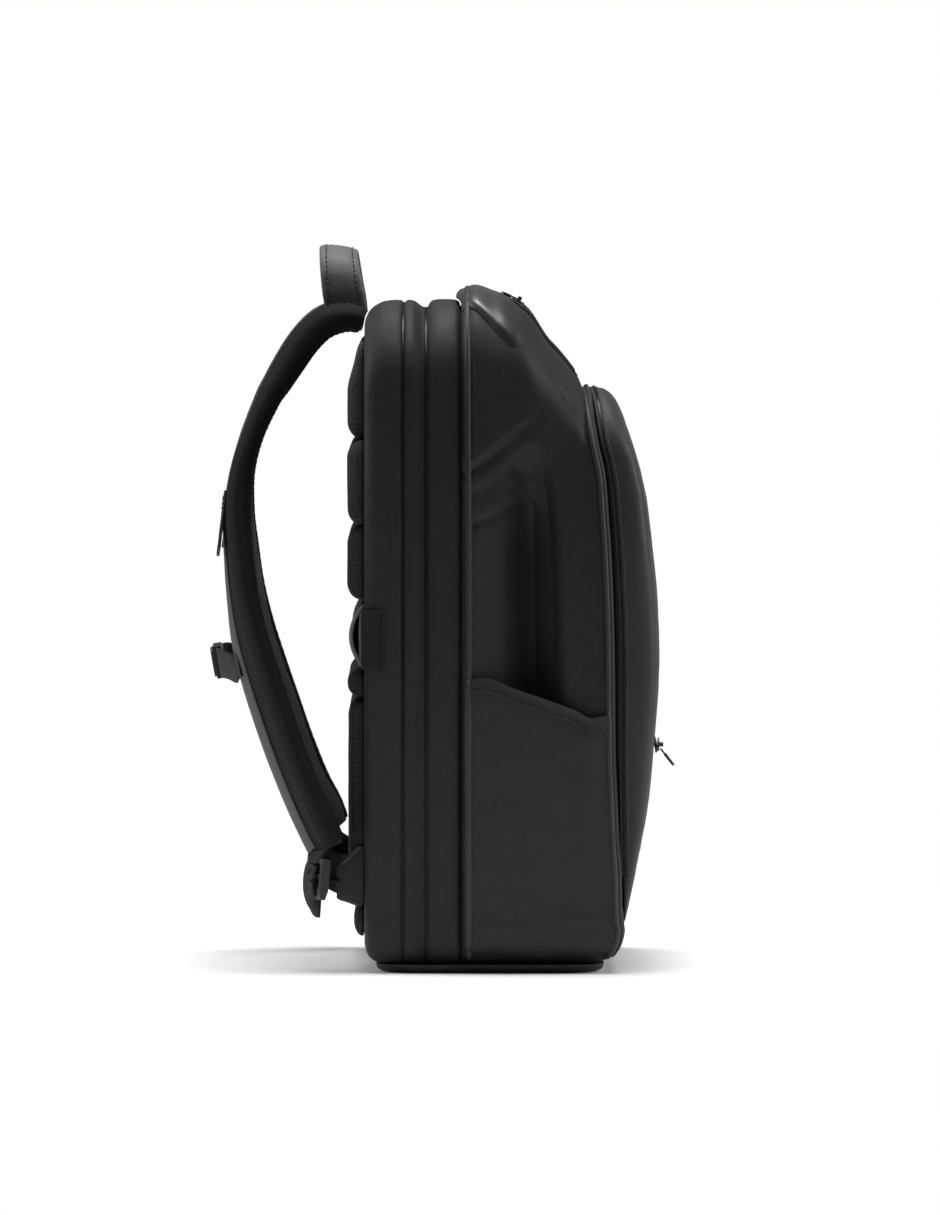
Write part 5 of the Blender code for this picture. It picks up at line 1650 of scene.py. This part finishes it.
half = whole(body_half(0.975))
outs = outward([(x, 0, z) for x, z in half])
path = []
for i in range(N_FLOOR + 5, len(half) - N_FLOOR - 4):
    x, z = half[i]
    path.append(Vector((x, REAR_Y + (seam_y(z) - REAR_Y) * 0.975, z)) + outs[i] * (0.2 + 2.4 * ease((z - 380) / 20)))
tube("front_seam_tape", path, 2.0, SHELL, (), 10)
for name, y, rows in (("rear_seam_tape", 20.55, MIDDLE_GUSSET_ROWS), ("middle_seam_tape", 44.8, REAR_GUSSET_ROWS),
                      ("laptop_seam_tape", 61.0, REAR_GUSSET_ROWS)):
    section = rear_section(rear_row(rows, y))
    outs = outward(section)
    tube(name, [Vector(p) - o * 1.7 for p, o in zip(section, outs)], 1.5, SEAM, (), 8, closed=True)

# lines of thread beside the seams
lines = []
for along in (0.105, 0.915):
    half = whole(body_half(along))
    outs = outward([(x, 0, z) for x, z in half])
    for keep in (range(N_FLOOR + N_LOW + 66, N_FLOOR + N_LOW + N_SIDE + 6),
                 range(len(half) - N_FLOOR - N_LOW - N_SIDE - 6, len(half) - N_FLOOR - N_LOW - 66)):
        path = []
        for i in keep:
            x, z = half[i]
            y = REAR_Y + (seam_y(z) - REAR_Y) * along
            x2 = x - math.copysign(hollow(along, z), x)
            path.append(Vector((x2, y, z)) + outs[i] * (side_relief(x, y, z, along) + 0.1))
        lines.append((path, [outs[i] for i in keep]))
stitches("side_panel_stitching", lines, 2.8, 1.3, 0.36, None)
lines = []
for along0, along1 in ((0.03, 0.40),):
    for edge in (0, 1):
        path, dirs = [], []
        for k in range(90):
            a = along0 + (along1 - along0) * k / 89
            t = 0.016 if edge == 0 else 1 - 0.016
            p, n = lid_point(a, t, 2.2)
            path.append(p)
            dirs.append(n)
        lines.append((path, dirs))
stitches("lid_stitching", lines, 2.8, 1.3, 0.36, None)


# base: a moulded panel with a rolled rim
def base_panel():
    b = Builder()
    rings = []
    for z, inset in ((0.0, 6.2), (0.25, 5.2), (0.8, 3.4), (1.7, 1.7), (2.8, 0.7), (4.4, 0.15), (6.0, 0.0)):
        hx, hy, r = 142.0 - inset, 80.0 - inset, 26.0
        pts = []
        for cx, cy, start in ((hx - r, hy - r, 0), (-hx + r, hy - r, 90), (-hx + r, -hy + r, 180), (hx - r, -hy + r, 270)):
            for i in range(13):
                a = math.radians(start + 90 * i / 12)
                pts.append((cx + r * math.cos(a), cy + r * math.sin(a), z))
        rings.append(b.ring(pts))
    for a, c in zip(rings, rings[1:]):
        b.join(a, c)
    b.fan(rings[0], (0, 0, 0), steps=(0.7, 0.35))
    b.fan(rings[-1], (0, 0, 6.0), steps=(0.7, 0.35))
    b.finish("base_panel_moulding", BASE, "base_panel", 40)


base_panel()

# sliders and their pulls
lean, stand = top_slope(-20.0)
zip_top = lid_z(-20.0)
slider("top_zip_slider_body", "top_zip_pull_tab", (-62.0, -20.6, zip_top + 3.4),
       ((0, 1, 0.5), (1, 0, 0), (0, -0.5, 1)), ("top_zip_slider", "top_zip_pull"),
       ((-62.0, -13.6, zip_top + 6.6), (1, 0, 0), (0, 1, 0.42), (0, -0.42, 1), 12.5))
at = face_point(-62.0, 157.0, 3.9)
slider("front_zip_slider_body", "front_zip_pull_tab", at,
       ((0, 0, 1), (1, 0, 0), (0, -1, 0)), ("front_zip_slider", "front_zip_pull"),
       (at + Vector((0, -5.4, -9.0)), (1, 0, 0), (0, -0.62, -0.78), (0, -0.78, 0.62), 15.5))

for side, sign in (("L", -1), ("R", 1)):
    # keeper tab sewn to the strap's outer face, its free end standing off
    points, outs = [], []
    for z, out in ((334.0, 1.6), (329.0, 1.7), (322.0, 2.0), (315.0, 2.7), (308.0, 3.8), (302.0, 4.9), (295.5, 6.4)):
        p, o = strap_place(sign, z, 0.0, out)
        points.append(p)
        outs.append(o)
    strip(f"strap_tab_{side}_web", catmull(points, 5), [outs[0]] * 31, 22.0, 2.2, WEBBING, f"strap_tab_{side}", 0.15)
    box_lines = []
    for x in (-8, 8):
        a, o = strap_place(sign, 333.0, 0.0, 2.9)
        c, _ = strap_place(sign, 321.0, 0.0, 3.2)
        box_lines.append(([a + Vector((x, 0, 0)), a.lerp(c, 0.5) + Vector((x, 0, 0)), c + Vector((x, 0, 0))], [o] * 3))
    for z, lift in ((332.5, 2.9), (321.5, 3.2)):
        a, o = strap_place(sign, z, 0.0, lift)
        box_lines.append(([a + Vector((x, 0, 0)) for x in (-8, 0, 8)], [o] * 3))
    stitches(f"strap_tab_{side}_stitching", box_lines, 2.4, 1.0, 0.4, None)

    # chest webbing
    start, so = strap_place(sign, 222.0, -0.35 * sign, 1.4)
    edge, eo = strap_place(sign, 221.0, -0.95 * sign, 1.6)
    web = catmull([start, start.lerp(edge, 0.5), edge, Vector((sign * 66.0, 186.4, 213.6)), Vector((sign * 44.0, 190.2, 213.6)),
                   Vector((sign * 22.0, 191.9, 213.6))], 6)
    strip(f"sternum_webbing_{side}_web", web, Vector((0, 0.985, -0.17)), 21.0, 1.8, WEBBING,
          f"sternum_webbing_{side}", 0.1)

    # lower adjuster
    lock_mid = Vector((sign * 131.0, 121.2, 64.6))
    turn = math.radians(19) * -sign
    lx, ly = Vector((math.cos(turn), math.sin(turn), 0)), Vector((0, 0.10, -0.995)).normalized()
    lz = lx.cross(ly) * -1
    lz = lz.normalized() if lz.y > 0 else -lz.normalized()

    def lock(b):
        xs, ys = [-17.0, -13.0, 13.0, 17.0], [-16.0, -12.4, -5.0, -1.0, 6.5, 13.0]
        holes = {(1, 1), (1, 3)}
        solid = {(i, j) for i in range(3) for j in range(5)} - holes
        grid = {}
        for level in (0, 1):
            for i, x in enumerate(xs):
                for j, y in enumerate(ys):
                    bow = 1.3 * (1 - (x / 17.0) ** 2) * (0.4 if j in (2, 3) else 1.0)
                    h = (3.2 if j < 5 else 1.8) * (1 if level else -1) + bow * 0.6
                    if j in (0,):
                        h *= 0.8
                    grid[level, i, j] = len(b.points)
                    b.points.append(lock_mid + lx * x * (0.94 if j == 5 else 1.0) + ly * y + lz * h)
                    b.run.append(0.0)
        for i, j in sorted(solid):
            for level in (0, 1):
                b.face(tuple(grid[level, i + a, j + c] for a, c in ((0, 0), (1, 0), (1, 1), (0, 1))))
            for di, dj, e in ((-1, 0, ((0, 0), (0, 1))), (1, 0, ((1, 0), (1, 1))), (0, -1, ((0, 0), (1, 0))), (0, 1, ((0, 1), (1, 1)))):
                if (i + di, j + dj) not in solid:
                    (a, c), (d, g) = e
                    b.face((grid[0, i + a, j + c], grid[0, i + d, j + g], grid[1, i + d, j + g], grid[1, i + a, j + c]))
        for k in range(4):
            block(b, lock_mid + ly * (8.0 + 1.1 * k) + lz * (3.0 - 0.25 * k), (lx, ly, lz), (20.0, 0.5, 0.7))

    rounded(f"ladder_lock_{side}_moulding", lock, 0.7, BUCKLE, f"ladder_lock_{side}", 3)

    web = catmull([(sign * 133.5, 104.0, 66.0), (sign * 132.5, 110.0, 66.5), (sign * 131.5, 115.2, 68.6), (sign * 131.0, 118.6, 70.2),
                   (sign * 131.0, 123.4, 68.6), (sign * 131.0, 126.8, 65.0)], 6)
    strip(f"adjuster_webbing_{side}_web", web, (lz * 0.35 + Vector((0, 0, 1))), 22.0, 1.9, WEBBING, f"adjuster_webbing_{side}")
    tail = catmull([(sign * 131.0, 124.6, 76.0), (sign * 131.0, 126.4, 70.0), (sign * 131.0, 127.2, 61.0), (sign * 131.0, 126.0, 53.6),
                    (sign * 131.0, 122.6, 50.0), (sign * 131.0, 118.4, 49.4)], 6)
    strip(f"webbing_tail_{side}_web", tail, lz, 22.0, 2.2, WEBBING, f"webbing_tail_{side}")
    loop = catmull([(sign * 130.0, 114.5, 94.0), (sign * 130.4, 117.2, 88.0), (sign * 130.8, 120.6, 82.0), (sign * 131.0, 122.9, 77.6),
                    (sign * 131.0, 121.6, 75.8)], 6)
    strip(f"strap_loop_{side}_web", loop, lz, 22.0, 3.4, WEBBING, ())

    fold = catmull([(sign * 136.6, 99.0, 66.0), (sign * 136.2, 105.0, 68.6), (sign * 135.0, 111.0, 72.0), (sign * 133.4, 116.6, 76.0),
                    (sign * 132.4, 120.6, 79.4)], 6)
    strip(f"adjuster_fold_{side}_web", fold, Vector((sign, 0.12, 0.05)), 25.0, 3.6, WEBBING, ())
    # sewn wing that anchors the adjuster to the body
    b = Builder()
    rings = []
    for i in range(15):
        t = i / 14
        y = 88.9 + (107.6 - 88.9) * t
        zc = 68.0 - 3.5 * ease(t)
        tall = 41.0 - 17.0 * ease(t * 0.95) - 1.5 * math.sin(math.pi * t)
        wide = 5.0 - 0.8 * t
        ring = []
        for k in range(28):
            a = 2 * math.pi * k / 28
            c, s = math.cos(a), math.sin(a)
            ring.append((sign * 137.0 + wide / 2 * math.copysign(abs(c) ** 0.8, c) + 0.25 * grain(0, y, zc + s * tall / 2, 9, 91.0), y,
                         zc + tall / 2 * math.copysign(abs(s) ** 0.62, s)))
        rings.append(b.ring(ring, t * 20))
    for a, c in zip(rings, rings[1:]):
        b.join(a, c)
    b.fan(rings[0], mean([b.points[i] for i in rings[0]]), steps=(0.5,))
    b.fan(rings[-1], mean([b.points[i] for i in rings[-1]]), steps=(0.5,))
    b.finish(f"strap_anchor_{side}_wing", SHELL, f"strap_anchor_{side}", 60)
    top_edge = [(sign * 137.0, 88.9 + 18.2 * t, 68.0 - 3.5 * ease(t) + (41.0 - 17.0 * ease(t * 0.95) - 1.5 * math.sin(math.pi * t)) / 2 - 0.3)
                for t in (i / 12 for i in range(13))]
    low_edge = [(sign * 137.0, 88.9 + 18.2 * t, 68.0 - 3.5 * ease(t) - (41.0 - 17.0 * ease(t * 0.95) - 1.5 * math.sin(math.pi * t)) / 2 + 0.3)
                for t in (i / 12 for i in range(13))]
    tube(f"strap_anchor_{side}_upper_piping", top_edge, 1.7, PIPING, (), 10)
    tube(f"strap_anchor_{side}_lower_piping", low_edge, 1.9, PIPING, (), 10)


# chest buckle: socket with side windows, and the prong body pushed into it
def chest_buckle(b):
    ax, ay, az = Vector((1, 0, 0)), Vector((0, 0.17, 0.985)).normalized(), Vector((0, 0.985, -0.17)).normalized()
    c = Vector((0, 192.4, 213.8))
    block(b, c + ax * -6.0, (ax, ay, az), (25.0, 23.0, 9.4), 3.2, 0.9)
    block(b, c + ax * 14.0, (ax, ay, az), (14.6, 21.4, 8.4), 2.4, 0.9)
    for e in (-1, 1):
        block(b, c + ax * 1.0 + ay * e * 8.6, (ax, ay, az), (15.0, 3.0, 6.4), 1.2, 0.95)
        block(b, c + ax * e * 21.0, (ax, ay, az), (2.6, 24.0, 6.0), 0.8)
    block(b, c + ax * 4.0 + az * 3.6, (ax, ay, az), (5.6, 9.0, 1.2), 1.4)


rounded("sternum_buckle_moulding", chest_buckle, 0.6, BUCKLE, "sternum_buckle", 2)

# ---------------------------------------------------------- floor and light


def stage():
    m, nt, sh = new_material("pale_floor")
    coord = nt.nodes.new("ShaderNodeTexCoord").outputs["Object"]
    tone = remap(nt, noise_node(nt, coord, 3, 2, 0.5), 0.3, 0.7, 0.87, 0.90)
    mix = nt.nodes.new("ShaderNodeCombineColor")
    for k in range(3):
        nt.links.new(tone, mix.inputs[k])
    nt.links.new(mix.outputs[0], sh.inputs["Base Color"])
    sh.inputs["Roughness"].default_value = 0.8
    sh.inputs["Specular IOR Level"].default_value = 0.1
    mesh = bpy.data.meshes.new("floor")
    ring = [(0.95 * math.cos(math.radians(5 * i)), 0.95 * math.sin(math.radians(5 * i)), 0) for i in range(72)]
    mesh.from_pydata(ring, [], [tuple(range(72))])
    mesh.materials.append(m)
    floor = bpy.data.objects.new("floor", mesh)
    bpy.context.scene.collection.objects.link(floor)


def soft_light(name, at, aim, size, power, tall=None):
    data = bpy.data.lights.new(name, "AREA")
    data.energy = power
    data.size = size
    if tall:
        data.shape = "RECTANGLE"
        data.size_y = tall
    ob = bpy.data.objects.new(name, data)
    ob.location = at
    ob.rotation_euler = (Vector(aim) - Vector(at)).to_track_quat("-Z", "Y").to_euler()
    bpy.context.scene.collection.objects.link(ob)


stage()
scene = bpy.context.scene
world = bpy.data.worlds.new("studio")
world.use_nodes = True
tree = world.node_tree
dim = tree.nodes["Background"]
dim.inputs["Color"].default_value = (1.0, 1.0, 1.0, 1.0)
dim.inputs["Strength"].default_value = 0.14
clear = tree.nodes.new("ShaderNodeBackground")
clear.inputs["Color"].default_value = (1.0, 1.0, 1.0, 1.0)
clear.inputs["Strength"].default_value = 1.0
path = tree.nodes.new("ShaderNodeLightPath")
pick = tree.nodes.new("ShaderNodeMixShader")
tree.links.new(path.outputs["Is Camera Ray"], pick.inputs[0])
tree.links.new(dim.outputs[0], pick.inputs[1])
tree.links.new(clear.outputs[0], pick.inputs[2])
tree.links.new(pick.outputs[0], tree.nodes["World Output"].inputs["Surface"])
scene.world = world
scene.view_settings.view_transform = "Standard"
scene.view_settings.look = "None"
scene.view_settings.exposure = 0.0
scene.view_settings.gamma = 1.0

sun_data = bpy.data.lights.new("ceiling", "SUN")
sun_data.energy = 2.7
sun_data.angle = math.radians(42)
sun = bpy.data.objects.new("ceiling", sun_data)
sun.rotation_euler = Vector((0.03, 0.0, -1.0)).to_track_quat("-Z", "Y").to_euler()
scene.collection.objects.link(sun)
soft_light("rear_strip", (0.25, 1.75, 1.10), (0, 0.05, 0.27), 0.7, 20, 1.3)
soft_light("far_top", (0.22, 0.02, 1.80), (-0.10, 0.0, 0.46), 0.46, 11, 0.46)
soft_light("front_strip", (-0.10, -1.75, 0.90), (0, -0.05, 0.27), 0.7, 22, 1.3)

data = bpy.data.cameras.new("camera")
camera = bpy.data.objects.new("camera", data)
distance, lift = 9.0, math.radians(2.2)
target = Vector((-0.15, 0.014, 0.2572))
direction = Vector((-math.cos(lift), 0, math.sin(lift)))
camera.location = target + direction * distance
camera.rotation_euler = (-direction).to_track_quat("-Z", "Y").to_euler()
data.sensor_fit = "VERTICAL"
data.sensor_height = 36.0
data.lens = 36.0 * distance / 0.8505
data.clip_end = 60
scene.collection.objects.link(camera)
scene.camera = camera
